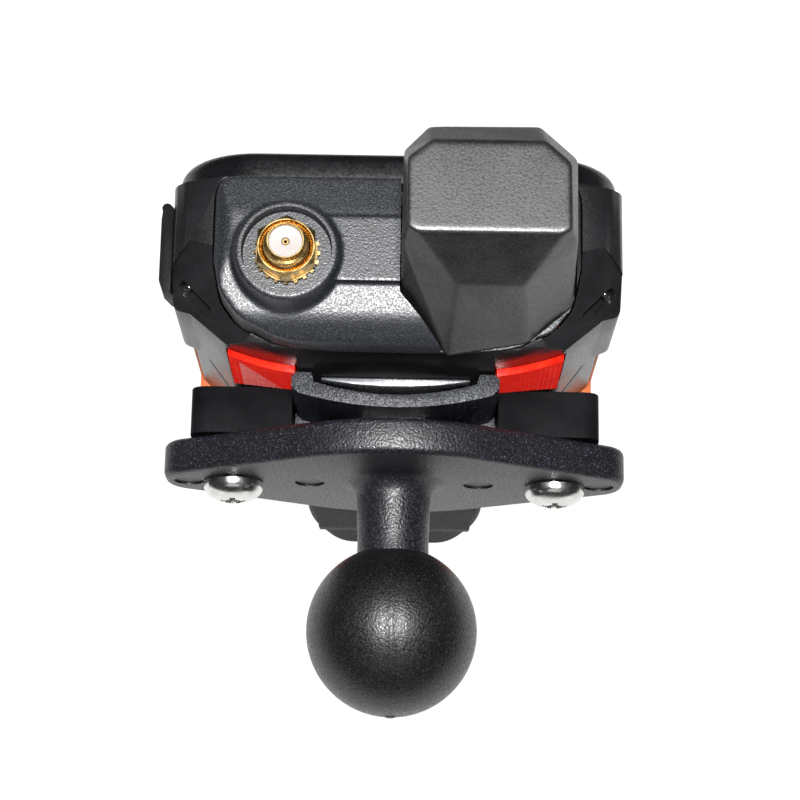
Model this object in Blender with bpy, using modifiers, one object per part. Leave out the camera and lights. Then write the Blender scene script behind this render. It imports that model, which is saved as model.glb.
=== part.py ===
"""Handheld emergency position beacon, seated in a form-fit cradle on a ball mount.

The centre of the mounting ball is the origin. +Z points to the beacon's top end, and
the screen side faces -Y. Sizes below are in millimetres; the model is in metres.
"""
import math

import bmesh
import bpy
from mathutils import Matrix, Vector

MM = 0.001
GAP = 0.3                    # clearance between neighbouring pieces
WALL = 2.0                   # thickness of the casing's walls
OVERSHOOT = 0.15             # keeps two cutting faces from lying in one plane

# Ball and diamond base
BALL_R = 12.7
COVER_T = 1.7                # rubber over the cast core
STEM_TIP_R = 5.35
STEM_ROOT_R = 5.7
PLATE_BACK = -22.5           # plate face towards the ball
PLATE_FRONT = -27.8          # plate face towards the cradle
PLATE_HALF_LENGTH = 34.7
PLATE_TIP_R = 5.0
PLATE_CROWN = 19.3           # half-height at the middle
PLATE_CROWN_R = 26.5
PLATE_FLANK = math.radians(28.3)
SCREW_X = 24.28              # 1.912 in hole spacing

# Cradle
BLOCK_HALF = 30.6
BLOCK_TOP = 8.0
BLOCK_BOTTOM = -17.0
BLOCK_BACK = PLATE_FRONT - GAP
BLOCK_FRONT = -35.2
SPINE_HALF = 14.0
FOOT_HALF = 17.2
FOOT_BOTTOM = -100.6

# Latch
LATCH_AXIS_Y = -32.6
LATCH_AXIS_Z = -4.0
LATCH_TOP = 16.0
LATCH_HALF = 15.2

# Beacon casing
BODY_HALF = 32.2
LOWER_HALF = 31.2            # the lower shell is inset from the upper one
BODY_TOP = 33.6
BODY_BOTTOM = -97.0
FRONT = -64.3
SEAM_FRONT = -59.4           # rear rim of the front cover
BACK = -35.6
CAP_SEAM = 26.2
SHELL_SEAM = 6.2
COVER_TOP = 30.2             # upper end of the front cover
SKIRT_FRONT = -43.2          # the upper housing reaches down round the rear corners
SKIRT_BOTTOM = -14.0
SHOULDER_FLOOR = 22.6
CORNER = (27.8, -46.9, 29.3)   # a point on the slanted facet of a rear corner
CORNER_TURN = 45.0
CORNER_LEAN = 45.0

# Coaxial jack
JACK_X = 15.4
JACK_Y = -46.9
BOSS_TOP = 36.4
DISC_Z = 34.4
JACK_TOP = 39.9

# Antenna block
ANT_LEFT = -24.8
ANT_RIGHT = -0.8
ANT_TOP = 50.0
ANT_FLOOR = 27.8
ANT_CORNER = (-42.5, 49.7)   # cut corner by the jack: its y at x = 0, its turn in degrees
ANT_FAR_CORNER = (-21.9, -39.4, 39.5)   # a point on the far cut corner, its turn

# Front controls
WINDOW = (-21.0, 21.0, -24.0, 16.0)     # low x, high x, low z, high z
KEY_TRAVEL_GAP = 0.7
KEYS = (                                # name, centre in x and z, width, height, how proud
    ("power_key", (-19.0, -38.0), 9.0, 7.0, 0.6),
    ("confirm_key", (19.0, -38.0), 9.0, 7.0, 0.6),
    ("nav_pad", (0.0, -46.0), 19.0, 19.0, 0.8),
    ("sos_button", (17.0, -77.0), 9.0, 9.0, 0.0),
)

# Screws of the rear cover, in x and z, and the outer face of the cover there
HOUSING_SCREWS = (
    (-25.6, -24.0, -35.8), (25.6, -24.0, -35.8),
    (-25.6, -70.0, -40.4), (25.6, -70.0, -40.4),
)

for old in list(bpy.data.objects):
    bpy.data.objects.remove(old, do_unlink=True)

PARTS = bpy.data.collections.new("emergency_position_beacon")
CUTTERS = bpy.data.collections.new("cutters")
bpy.context.scene.collection.children.link(PARTS)
bpy.context.scene.collection.children.link(CUTTERS)


# ---------------------------------------------------------------- materials

def material(name, colour, roughness, metallic=0.0):
    """A Principled material; made once and shared by name."""
    found = bpy.data.materials.get(name)
    if found:
        return found
    made = bpy.data.materials.new(name)
    made.use_nodes = True
    shader = made.node_tree.nodes["Principled BSDF"]
    shader.inputs["Base Color"].default_value = (*colour, 1.0)
    shader.inputs["Roughness"].default_value = roughness
    shader.inputs["Metallic"].default_value = metallic
    return made


BLACK_PLASTIC = material("black_plastic", (0.02, 0.021, 0.024), 0.5)
SATIN_PLASTIC = material("satin_plastic", (0.03, 0.03, 0.032), 0.4)
CRADLE_PLASTIC = material("cradle_plastic", (0.012, 0.012, 0.013), 0.6)
ORANGE_PLASTIC = material("orange_plastic", (0.85, 0.2, 0.03), 0.45)
POWDER_COAT = material("powder_coat", (0.02, 0.02, 0.022), 0.45, 0.3)
BALL_RUBBER = material("ball_rubber", (0.01, 0.01, 0.01), 0.5)
SEAL_RUBBER = material("seal_rubber", (0.02, 0.02, 0.02), 0.7)
KEY_RUBBER = material("key_rubber", (0.05, 0.05, 0.055), 0.65)
RED_LENS = material("red_lens", (0.8, 0.04, 0.02), 0.15)
GREY_PLASTIC = material("grey_plastic", (0.55, 0.57, 0.6), 0.25)
GLASS = material("window_glass", (0.02, 0.025, 0.03), 0.05)
STEEL = material("steel", (0.62, 0.62, 0.6), 0.25, 1.0)
GOLD = material("gold_plate", (0.83, 0.6, 0.25), 0.25, 1.0)
WHITE_INSULATOR = material("white_insulator", (0.9, 0.88, 0.84), 0.4)
BOARD = material("board_green", (0.02, 0.16, 0.06), 0.5)
CERAMIC = material("ceramic", (0.6, 0.55, 0.45), 0.5)
CELL_WRAP = material("cell_wrap", (0.1, 0.14, 0.3), 0.4)
DISPLAY = material("display", (0.12, 0.14, 0.12), 0.3)


# ------------------------------------------------------------ shape helpers

def place(name, mesh, look=None):
    """Link a mesh as a part, or as a cutter when it has no look."""
    made = bpy.data.objects.new(name, mesh)
    if look is None:
        CUTTERS.objects.link(made)
        made.hide_render = True
        made.display_type = "WIRE"
    else:
        PARTS.objects.link(made)
        mesh.materials.clear()
        mesh.materials.append(look)
    return made


def arc(centre, radius, start, end, steps):
    """Points on an arc, angles in degrees."""
    points = []
    for step in range(steps + 1):
        angle = math.radians(start + (end - start) * step / steps)
        points.append((centre[0] + radius * math.cos(angle), centre[1] + radius * math.sin(angle)))
    return points


def rounded_rectangle(low_u, high_u, low_v, high_v, radius, steps=4):
    """A rectangle's outline with round corners."""
    corners = ((high_u - radius, high_v - radius, 0), (low_u + radius, high_v - radius, 90),
               (low_u + radius, low_v + radius, 180), (high_u - radius, low_v + radius, 270))
    outline = []
    for u, v, start in corners:
        outline += arc((u, v), radius, start, start + 90, steps)
    return outline


def slab_mesh(outline, low, high, axis):
    """An outline in (x, y), (x, z) or (y, z), made thick along Z, Y or X."""
    curve = bpy.data.curves.new("outline", "CURVE")
    curve.dimensions = "2D"
    curve.fill_mode = "BOTH"
    curve.extrude = (high - low) / 2 * MM
    spline = curve.splines.new("POLY")
    spline.points.add(len(outline) - 1)
    for point, (u, v) in zip(spline.points, outline):
        point.co = (u * MM, v * MM, 0.0, 1.0)
    spline.use_cyclic_u = True
    guide = bpy.data.objects.new("outline", curve)
    CUTTERS.objects.link(guide)
    bpy.context.view_layer.update()
    evaluated = guide.evaluated_get(bpy.context.evaluated_depsgraph_get())
    mesh = bpy.data.meshes.new_from_object(evaluated)
    bpy.data.objects.remove(guide, do_unlink=True)
    middle = (low + high) / 2 * MM
    turns = {
        "Z": Matrix.Translation((0, 0, middle)),
        "Y": Matrix.Translation((0, middle, 0)) @ Matrix.Rotation(math.radians(90), 4, "X"),
        "X": Matrix.Translation((middle, 0, 0)) @ Matrix(((0, 0, 1, 0), (1, 0, 0, 0),
                                                          (0, 1, 0, 0), (0, 0, 0, 1))),
    }
    edit = bmesh.new()
    edit.from_mesh(mesh)
    bmesh.ops.remove_doubles(edit, verts=edit.verts, dist=1e-6)
    bmesh.ops.dissolve_limit(edit, angle_limit=0.001, verts=edit.verts, edges=edit.edges)
    edit.transform(turns[axis])
    bmesh.ops.recalc_face_normals(edit, faces=edit.faces)
    edit.to_mesh(mesh)
    edit.free()
    return mesh


def slab(name, outline, low, high, axis, look=None):
    """A part, or a cutter, cut from a flat outline."""
    return place(name, slab_mesh(outline, low, high, axis), look)


def block(name, low, high, look=None):
    """A box between two corners, from a cube."""
    edit = bmesh.new()
    bmesh.ops.create_cube(edit, size=1.0)
    size = [(b - a) * MM for a, b in zip(low, high)]
    middle = [(a + b) / 2 * MM for a, b in zip(low, high)]
    edit.transform(Matrix.Translation(middle) @ Matrix.Diagonal((*size, 1.0)))
    mesh = bpy.data.meshes.new(name)
    edit.to_mesh(mesh)
    edit.free()
    return place(name, mesh, look)


AXIS_TURN = {
    "Z": Matrix.Identity(4),
    "Y": Matrix.Rotation(math.radians(-90), 4, "X"),
    "X": Matrix.Rotation(math.radians(90), 4, "Y"),
}


def turned(name, profile, centre, axis, look=None, steps=32):
    """A profile of (radius, height) points turned about an axis, top to bottom."""
    mesh = bpy.data.meshes.new(name)
    vertices = [(radius * MM, 0.0, height * MM) for radius, height in profile]
    edges = [(i, i + 1) for i in range(len(vertices) - 1)]
    if profile[0][0] > 0.0:
        edges.append((len(vertices) - 1, 0))
    mesh.from_pydata(vertices, edges, [])
    made = place(name, mesh, look)
    made.matrix_world = Matrix.Translation(Vector(centre) * MM) @ AXIS_TURN[axis]
    screw = made.modifiers.new("turn", "SCREW")
    screw.steps = steps
    screw.render_steps = steps
    screw.use_merge_vertices = True
    screw.merge_threshold = 1e-6
    screw.use_smooth_shade = True
    return made


def disc(name, radius, low, high, centre, axis, look=None, steps=32):
    """A plain cylinder between two heights along an axis."""
    return turned(name, [(0, high), (radius, high), (radius, low), (0, low)],
                  centre, axis, look, steps)


def ring(name, outer, inner, low, high, centre, axis, look=None, steps=32):
    """A plain ring between two heights along an axis."""
    profile = [(outer, high), (outer, low), (inner, low), (inner, high)]
    return turned(name, profile, centre, axis, look, steps)


def boolean(target, tool, operation):
    """Cut, join or intersect with another object, which becomes a cutter."""
    if tool.name in PARTS.objects:
        PARTS.objects.unlink(tool)
        CUTTERS.objects.link(tool)
    tool.hide_render = True
    tool.display_type = "WIRE"
    modifier = target.modifiers.new(operation.lower(), "BOOLEAN")
    modifier.operation = operation
    modifier.object = tool
    modifier.solver = "EXACT"
    return target


def cut(target, *tools):
    for tool in tools:
        boolean(target, tool, "DIFFERENCE")
    return target


def join(target, *tools):
    for tool in tools:
        boolean(target, tool, "UNION")
    return target


def keep_inside(target, *tools):
    for tool in tools:
        boolean(target, tool, "INTERSECT")
    return target


def round_edges(target, radius, segments, chosen):
    """Round the edges that a test of middle and direction picks, in millimetres."""
    edit = bmesh.new()
    edit.from_mesh(target.data)
    picked = []
    for edge in edit.edges:
        first, second = (vertex.co / MM for vertex in edge.verts)
        if chosen((first + second) / 2, (second - first).normalized()):
            picked.append(edge)
    bmesh.ops.bevel(edit, geom=picked, offset=radius * MM, offset_type="OFFSET",
                    segments=segments, profile=0.5, affect="EDGES", clamp_overlap=True)
    edit.to_mesh(target.data)
    edit.free()
    return target


def soften(target, radius, segments=1, angle=40):
    """Break a part's sharp edges."""
    bevel = target.modifiers.new("soften", "BEVEL")
    bevel.width = radius * MM
    bevel.segments = segments
    bevel.limit_method = "ANGLE"
    bevel.angle_limit = math.radians(angle)
    bevel.use_clamp_overlap = True
    return target


def mirrored(outline):
    """Complete an outline given from the top middle to the bottom middle at +u."""
    return outline + [(-u, v) for u, v in reversed(outline) if abs(u) > 1e-9]


# -------------------------------------------------------------- ball mount

def plate_outline():
    """A rhombus with a round crown and round tips, in x and z."""
    crown_centre = PLATE_CROWN - PLATE_CROWN_R
    peak = crown_centre + PLATE_CROWN_R / math.cos(PLATE_FLANK)
    tip_x = PLATE_HALF_LENGTH - PLATE_TIP_R
    tip_z = peak - math.tan(PLATE_FLANK) * tip_x - PLATE_TIP_R / math.cos(PLATE_FLANK)
    flank = math.degrees(PLATE_FLANK)
    upper = arc((0, crown_centre), PLATE_CROWN_R, 90, 90 - flank, 4)
    upper += arc((tip_x, tip_z), PLATE_TIP_R, 90 - flank, 0, 4)
    half = upper + [(x, -z) for x, z in reversed(upper)]
    return mirrored(half)


def make_ball_mount():
    core_r = BALL_R - COVER_T - GAP
    base = slab("ball_base", plate_outline(), PLATE_FRONT, PLATE_BACK, "Y", POWDER_COAT)
    round_edges(base, 0.8, 2, lambda mid, way: abs(way.y) < 0.1)
    meet = -math.sqrt(core_r ** 2 - STEM_TIP_R ** 2)
    start = math.degrees(math.atan2(meet, STEM_TIP_R))
    profile = arc((0, 0), core_r, 90, start, 10)
    profile[0] = (0, core_r)
    root = PLATE_BACK
    profile += [(STEM_TIP_R, meet - 3), (STEM_ROOT_R, root + 2.0), (STEM_ROOT_R + 0.4, root + 0.8),
                (STEM_ROOT_R + 1.4, root - 0.1), (STEM_ROOT_R + 1.4, root - 2), (0, root - 2)]
    join(base, turned("stem", profile, (0, 0, 0), "Y"))
    for side in (-1, 1):
        cut(base, disc("plate_hole", 2.3, -40, -10, (side * SCREW_X, 0, 0), "Y", None, 20))
        for dimple_x in (12.75, 31.0):
            cut(base, disc("dimple", 2.2, PLATE_BACK - 0.35, PLATE_BACK + 1,
                           (side * dimple_x, 0, 0), "Y", None, 16))

    mouth = 6.3
    lowest = -math.sqrt(BALL_R ** 2 - mouth ** 2)
    inner = BALL_R - COVER_T
    inner_low = -math.sqrt(inner ** 2 - 5.8 ** 2)
    outside = arc((0, 0), BALL_R, 90, math.degrees(math.atan2(lowest, mouth)), 18)
    inside = arc((0, 0), inner, math.degrees(math.atan2(inner_low, 5.8)), 90, 12)
    outside[0] = (0, BALL_R)
    inside[-1] = (0, inner)
    turned("ball_cover", outside + inside, (0, 0, 0), "Y", BALL_RUBBER, 40)


def make_plate_fasteners():
    under = PLATE_BACK + GAP
    for side, label in ((-1, "left"), (1, "right")):
        centre = (side * SCREW_X, under, 0)
        head = [(0, 2.5), (1.6, 2.35), (2.9, 1.95), (3.9, 1.25), (4.4, 0.5), (4.45, 0.0)]
        screw = turned("plate_screw_" + label, head + [(2.0, 0), (2.0, -12.6), (0, -12.6)],
                       centre, "Y", STEEL, 24)
        for index, (wide, tall) in enumerate(((3.6, 0.9), (0.9, 3.6))):
            cut(screw, block("recess_%d" % index,
                             (centre[0] - wide / 2, under + 1.0, -tall / 2),
                             (centre[0] + wide / 2, under + 4.0, tall / 2)))
        nut = disc("plate_nut_" + label, 4.0, BLOCK_FRONT + 0.2, BLOCK_FRONT + 3.0,
                   (centre[0], 0, 0), "Y", STEEL, 6)
        cut(nut, disc("nut_bore", 2.35, -45, -20, (centre[0], 0, 0), "Y", None, 20))


# ----------------------------------------------------------------- cradle

def back_taper(inset=0.0):
    """Side profile of the beacon's lower back, in y and z, from the seam down."""
    return [(BACK - inset, -45.0), (-41.0 - inset, -74.0), (-45.6 - inset, -92.5 + inset),
            (-50.0 - inset, BODY_BOTTOM + inset)]


def make_cradle():
    shape = mirrored([(0, BLOCK_TOP), (BLOCK_HALF, BLOCK_TOP), (BLOCK_HALF, -9.0),
                      (SPINE_HALF, BLOCK_BOTTOM), (0, BLOCK_BOTTOM)])
    cradle = slab("cradle", shape, BLOCK_FRONT, BLOCK_BACK, "Y", CRADLE_PLASTIC)
    round_edges(cradle, 1.5, 3, lambda mid, way: abs(way.y) > 0.9 and mid.z > 0)
    round_edges(cradle, 0.8, 2, lambda mid, way: mid.z > BLOCK_TOP - 1.6 and abs(way.y) < 0.1)

    clear = GAP + 0.1
    spine_side = [(BLOCK_FRONT, -12.0), (-31.0, -12.0), (-31.0, -40.0), (-33.2, -78.0),
                  (-35.4, -91.0), (-35.4, FOOT_BOTTOM), (FRONT - 3.2, FOOT_BOTTOM), (FRONT - 3.2, -91.0),
                  (FRONT - 0.6, -91.0), (FRONT - 0.6, BODY_BOTTOM - clear), (-50.4, BODY_BOTTOM - clear),
                  (-45.2, -92.7), (-40.6, -74.0), (BLOCK_FRONT, -44.8)]
    spine = slab("spine", spine_side, -FOOT_HALF, FOOT_HALF, "X")
    plan = mirrored([(0, -28.5), (SPINE_HALF - 1.5, -28.5), (SPINE_HALF, -30.0),
                     (SPINE_HALF, -38.0), (SPINE_HALF, -70.0), (0, -70.0)])
    narrow = slab("spine_plan", plan, -85.0, -10.0, "Z")
    foot_plan = mirrored([(0, -35.4), (8.5, -35.4), (13.0, -37.0), (16.2, -40.4),
                          (FOOT_HALF, -45.0), (FOOT_HALF, -54.0), (12.0, -60.0),
                          (12.0, -68.0), (0, -68.0)])
    wide = slab("foot_plan", foot_plan, -101.0, -84.5, "Z")
    keep_inside(spine, join(narrow, wide))
    join(cradle, spine)

    for side in (-1, 1):
        x = side * SCREW_X
        cut(cradle, disc("screw_way", 2.3, -45, -20, (x, 0, 0), "Y", None, 20))
        cut(cradle, disc("nut_pocket", 4.4, -45, BLOCK_FRONT + 3.3, (x, 0, 0), "Y", None, 6))
    recess = LATCH_HALF + 0.5
    cut(cradle, block("latch_recess", (-recess, -45, LATCH_AXIS_Z - 3.0), (recess, -28.9, 30)))
    cut(cradle, disc("pin_way", 1.3, -17.6, 17.6, (0, LATCH_AXIS_Y, LATCH_AXIS_Z), "X", None, 16))


def make_latch():
    """U-shaped hoop on a cross pin, pressed home by a leaf spring."""
    outer_end = -32.4
    outer_mid = -30.1
    band = 1.9
    sag = outer_mid - outer_end
    half = LATCH_HALF
    outer = [(half * t, outer_mid - sag * t * t) for t in (0, 0.25, 0.5, 0.75, 0.94)]
    inner = [(12.3 * t, outer_mid - band - 1.9 * t * t) for t in (0.96, 0.7, 0.4, 0)]
    half_shape = outer + [(half, outer_end - 0.7), (half, BLOCK_FRONT - 0.05),
                          (12.3, BLOCK_FRONT - 0.05)] + inner
    hoop = slab("release_latch", mirrored(half_shape), -1.5, LATCH_TOP, "Z", CRADLE_PLASTIC)
    centre = (0, LATCH_AXIS_Y, LATCH_AXIS_Z)
    barrel = disc("latch_barrel", 2.3, -half, half, centre, "X", None, 20)
    root = block("latch_root", (-half, LATCH_AXIS_Y - 1.6, LATCH_AXIS_Z),
                 (half, LATCH_AXIS_Y + 1.3, 1.0))
    join(hoop, barrel, root)
    cut(hoop, disc("latch_bore", 1.3, -20, 20, centre, "X", None, 16))
    disc("latch_pin", 1.0, -17.3, 17.3, centre, "X", STEEL, 16)
    block("latch_spring", (-5, -29.5, -6.0), (5, -29.2, 3.0), STEEL)


# ------------------------------------------------------------ beacon casing

def upper_plan(inset=0.0):
    """Plan of the beacon's upper part, in x and y, from back to front."""
    side = BODY_HALF - inset
    return [(0, BACK - inset), (14.0, BACK - 0.1 - inset), (24.3 - inset * 0.4, BACK - 1.0 - inset),
            (29.6 - inset * 0.7, -41.2 - inset * 0.7), (side, -42.2 - inset),
            (side, SEAM_FRONT + GAP), (0, SEAM_FRONT + GAP)]


def cap_plan(inset=0.0):
    """Plan of the top cap, an island between the two shoulders of the upper housing."""
    side = 25.9 - inset
    return [(0, -34.9 - inset), (8.5, -34.9 - inset), (16.5, -35.7 - inset),
            (22.2 - inset * 0.5, -38.2 - inset * 0.9), (24.9 - inset * 0.8, -41.8 - inset * 0.5),
            (side, -46.5 - inset * 0.2), (side, SEAM_FRONT + GAP + inset),
            (0, SEAM_FRONT + GAP + inset)]


def cap_profile(inset=0.0):
    """Side profile of the top cap, in y and z; the end face falls away to the back."""
    return [(-70, 20), (-70, BODY_TOP - inset), (-57.5, BODY_TOP - inset),
            (-49.0, 32.6 - inset), (-42.0, 30.2 - inset), (-37.2, 28.2 - inset),
            (-34.2 - inset, 26.3), (-30, 20)]


def cap_solid(name, inset, low, look=None):
    half = 25.9 - inset + OVERSHOOT
    solid = slab(name, cap_profile(inset), -half, half, "X", look)
    long_top = lambda mid, way: abs(way.y) > 0.8 and abs(mid.x) > 20 and 27 < mid.z and mid.y > -69
    round_edges(solid, 3.0, 3, long_top)
    keep_inside(solid, slab(name + "_plan", mirrored(cap_plan(inset)), low, 60, "Z"))
    return solid


def make_top_cap():
    cap = cap_solid("top_cap", 0.0, CAP_SEAM + GAP, BLACK_PLASTIC)
    boss = turned("boss", [(0, BOSS_TOP), (6.7, BOSS_TOP), (7.1, BOSS_TOP - 0.4),
                           (8.1, BOSS_TOP - 4.5), (8.3, 29.5), (0, 29.5)],
                  (JACK_X, JACK_Y, 0), "Z")
    band = block("band", (-2.0, -52.6, 29.6), (JACK_X, -43.2, 33.9))
    hollow = cap_solid("cap_hollow", WALL, 20)
    jack_floor = disc("jack_floor", 9.5, 31.4, 33.2, (JACK_X, JACK_Y, 0), "Z", None, 20)
    cut(cap, hollow)
    join(cap, jack_floor, boss, band)
    centre = (JACK_X, JACK_Y, 0)
    cut(cap, disc("boss_dish", 6.3, DISC_Z, 60, centre, "Z", None, 32))
    cut(cap, disc("jack_way", 3.6, 20, 60, centre, "Z", None, 20))
    cut(cap, disc("jack_room", 6.2, 20, 31.9, centre, "Z", None, 20))
    near_y, near_turn = ANT_CORNER
    corner_y = lambda x: near_y - x * math.tan(math.radians(near_turn)) + GAP * 1.6
    room = [(ANT_LEFT - GAP, -70), (ANT_RIGHT + GAP, -70), (ANT_RIGHT + GAP, corner_y(ANT_RIGHT + GAP)),
            (-9.0, corner_y(-9.0)), (ANT_LEFT - GAP, corner_y(-9.0))]
    cut(cap, slab("antenna_room", room, ANT_FLOOR - GAP, 60, "Z"))


def corner_frame(side):
    """Frame of a rear corner's facet: +Y points out of the facet, +Z up its slope."""
    x, y, z = CORNER
    return (Matrix.Translation(Vector((side * x, y, z)) * MM)
            @ Matrix.Rotation(math.radians(-side * CORNER_TURN), 4, "Z")
            @ Matrix.Rotation(math.radians(CORNER_LEAN), 4, "X"))


def make_shoulders(housing):
    """Two sloping shoulders beside the cap, ending in slanted rear corners with slots."""
    shoulders = slab("shoulders", mirrored(upper_plan()), SHOULDER_FLOOR, 34, "Z")
    roof = mirrored([(0, 32.0), (25.0, 31.7), (30.6, 29.6), (31.7, 28.6), (32.6, 26.8),
                     (32.6, 20), (0, 20)])
    keep_inside(shoulders, slab("shoulder_roof", roof, -75, -25, "Y"),
                slab("shoulder_fall", cap_profile(), -40, 40, "X"))
    cut(shoulders, slab("island", mirrored(cap_plan(-GAP)), 10, 60, "Z"))
    join(housing, shoulders)
    for side, label in ((-1, "left"), (1, "right")):
        far, near = 9.0, 3.3
        facet = block("facet", (-far if side > 0 else -near, 0, -9),
                      (near if side > 0 else far, 12, 12))
        facet.matrix_world = corner_frame(side)
        slot = block("lanyard_slot", (-3.1, -1.5, -0.8), (3.1, 3.0, 0.8))
        slot.matrix_world = corner_frame(side) @ Matrix.Translation(Vector((-side * 2.0, 0, -5.1)) * MM)
        cut(housing, facet, slot)
        pin = disc("lanyard_pin_" + label, 0.45, -0.5, 0.5, (0, 0, 0), "Z", STEEL, 12)
        pin.matrix_world = slot.matrix_world @ Matrix.Translation(Vector((side * 0.8, -0.8, 0)) * MM)


def antenna_profile(inset=0.0):
    """Side profile of the antenna block, in y and z."""
    front = SEAM_FRONT + 2 * GAP + inset * 1.4
    return [(front, ANT_FLOOR - inset), (front, 31.0 + inset),
            (-62.2 + inset, 31.0 + inset), (-62.2 + inset, 43.6),
            (-61.2 + inset, 47.0 - inset * 0.3), (-57.6 + inset * 0.5, ANT_TOP - inset),
            (-44.9 - inset * 0.4, ANT_TOP - inset), (-39.4 - inset, 42.4 - inset * 0.5),
            (-36.4 - inset, 33.0), (-35.0 - inset, ANT_FLOOR - inset)]


def antenna_solid(name, inset, look=None):
    solid = slab(name, antenna_profile(inset), ANT_LEFT + inset, ANT_RIGHT - inset, "X", look)
    side_edges = lambda mid, way: abs(way.x) < 0.1 and mid.z > 32
    round_edges(solid, 2.6 - inset * 0.6, 3, side_edges)
    near_y, near_turn = ANT_CORNER
    far_x, far_y, far_turn = ANT_FAR_CORNER
    for x, y, turn in ((0.0, near_y, -near_turn), (far_x, far_y, far_turn)):
        corner = block(name + "_corner", (-20, -inset, -40), (20, 20, 40))
        corner.matrix_world = (Matrix.Translation(Vector((x, y, 30)) * MM)
                               @ Matrix.Rotation(math.radians(turn), 4, "Z"))
        cut(solid, corner)
    return solid


def make_antenna_block():
    housing = antenna_solid("antenna_housing", 0.0, SATIN_PLASTIC)
    cut(housing, antenna_solid("antenna_hollow", 1.6))
    middle = (ANT_LEFT + ANT_RIGHT) / 2
    block("satellite_antenna", (middle - 8.5, -57, 40.5), (middle + 8.5, -45.5, 44.5), CERAMIC)
    block("gps_antenna", (middle - 8, -56.5, 33), (middle + 6, -42.5, 36.5), CERAMIC)


def make_upper_housing():
    plan = mirrored(upper_plan())
    housing = slab("upper_housing", plan, SHELL_SEAM + GAP, CAP_SEAM, "Z", BLACK_PLASTIC)
    hollow_plan = upper_plan(WALL)
    hollow_plan[-2:] = [(BODY_HALF - WALL, -70.0), (0, -70.0)]
    cut(housing, slab("upper_hollow", mirrored(hollow_plan), 0, 40, "Z"))
    skirt = lower_solid("skirt", 0.0, SHELL_SEAM + WALL)
    keep_inside(skirt, block("skirt_room", (-40, SKIRT_FRONT, SKIRT_BOTTOM + GAP), (40, -20, 12)))
    cut(skirt, lower_solid("skirt_hollow", WALL, 30.0))
    join(housing, skirt)
    make_shoulders(housing)
    for side, label in ((-1, "left"), (1, "right")):
        lens_solid("marker_lens_" + label, side, 0.0, RED_LENS)
        cut(housing, lens_solid("lens_window", side, GAP))
        block("marker_led_" + label, (side * 19.5 - 1.5, -41.6, 11.0),
              (side * 19.5 + 1.5, -39.6, 14.0), WHITE_INSULATOR)
    bow = [(11 * t, -34.3 - 0.9 * t * t) for t in (0, 0.35, 0.65, 0.85, 1.0)]
    ledge = mirrored(bow + [(11.0, -35.3), (0, -35.3)])
    slab("clip_ledge", ledge, 10.4, 12.4, "Z", GREY_PLASTIC)
    cut(housing, block("port_way", (27, -55.4, 11.5), (36, -47.6, 21.5)))


def lens_solid(name, side, grow, look=None):
    """A ribbed corner lens: a slanted-top tile set in the back of the casing."""
    face = 0.15 if look else 4.0
    deep = 1.5 + grow * 3
    near = (14.8 - grow, BACK - 0.15 + face)
    far = (24.1 + grow, BACK - 1.0 + face)
    plan = [near, far, (far[0], far[1] - face - deep), (near[0], near[1] - face - deep)]
    tile = slab(name, [(side * x, y) for x, y in plan], SHELL_SEAM + 1.8 - grow, 24, "Z", look)
    slope = [(side * (14.8 - grow), 17.4 + grow), (side * 19.0, 18.6 + grow),
             (side * (24.1 + grow), 22.0 + grow), (side * 40, 22.0 + grow), (side * 40, 40),
             (side * 5, 40), (side * 5, 17.4 + grow)]
    cut(tile, slab(name + "_top", slope, -60, -20, "Y"))
    return tile


def lower_profile(inset, top):
    """Side profile of the lower rear shell, in y and z."""
    front = SEAM_FRONT + GAP if inset == 0.0 else -75.0
    return ([(front, top), (BACK - inset, top)] + back_taper(inset)
            + [(front, BODY_BOTTOM + inset)])


def lower_solid(name, inset, top, look=None):
    half = LOWER_HALF - inset
    wide = half + OVERSHOOT
    shell = slab(name, lower_profile(inset, top), -wide, wide, "X", look)
    back_edges = lambda mid, way: (abs(mid.x) > half - 1 and abs(way.x) < 0.1
                                   and abs(way.z) > 0.5 and mid.y > -55)
    round_edges(shell, 6.0, 2, back_edges)
    outline = rounded_rectangle(-half, half, BODY_BOTTOM + inset, 60, 12.0 - inset, 5)
    keep_inside(shell, slab(name + "_face", outline, -80, -20, "Y"))
    return shell


def make_rear_cover():
    cover = lower_solid("rear_cover", 0.0, SHELL_SEAM, ORANGE_PLASTIC)
    cut(cover, lower_solid("rear_hollow", WALL, 30.0),
        block("skirt_gap", (-40, SKIRT_FRONT - GAP, SKIRT_BOTTOM), (40, -20, 12)))
    for index, (x, z, outer_y) in enumerate(HOUSING_SCREWS):
        centre = (x, 0, z)
        post = disc("post_%d" % index, 3.3, -55.5, outer_y - 1.1, centre, "Y", None, 16)
        join(cover, post)
        cut(cover, disc("screw_bore_%d" % index, 1.5, -56.5, -20, centre, "Y", None, 12))
        cut(cover, disc("head_bore_%d" % index, 2.5, outer_y - 3.0, -20, centre, "Y", None, 16))
        seat = outer_y - 3.0 + GAP
        screw = turned("housing_screw_%d" % (index + 1),
                       [(0, 1.7), (1.7, 1.5), (2.1, 0.9), (2.1, 0), (1.1, 0), (1.1, -9), (0, -9)],
                       (x, seat, z), "Y", STEEL, 16)
        cut(screw, disc("star_%d" % index, 0.9, 0.7, 3, (x, seat, z), "Y", None, 6))


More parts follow.
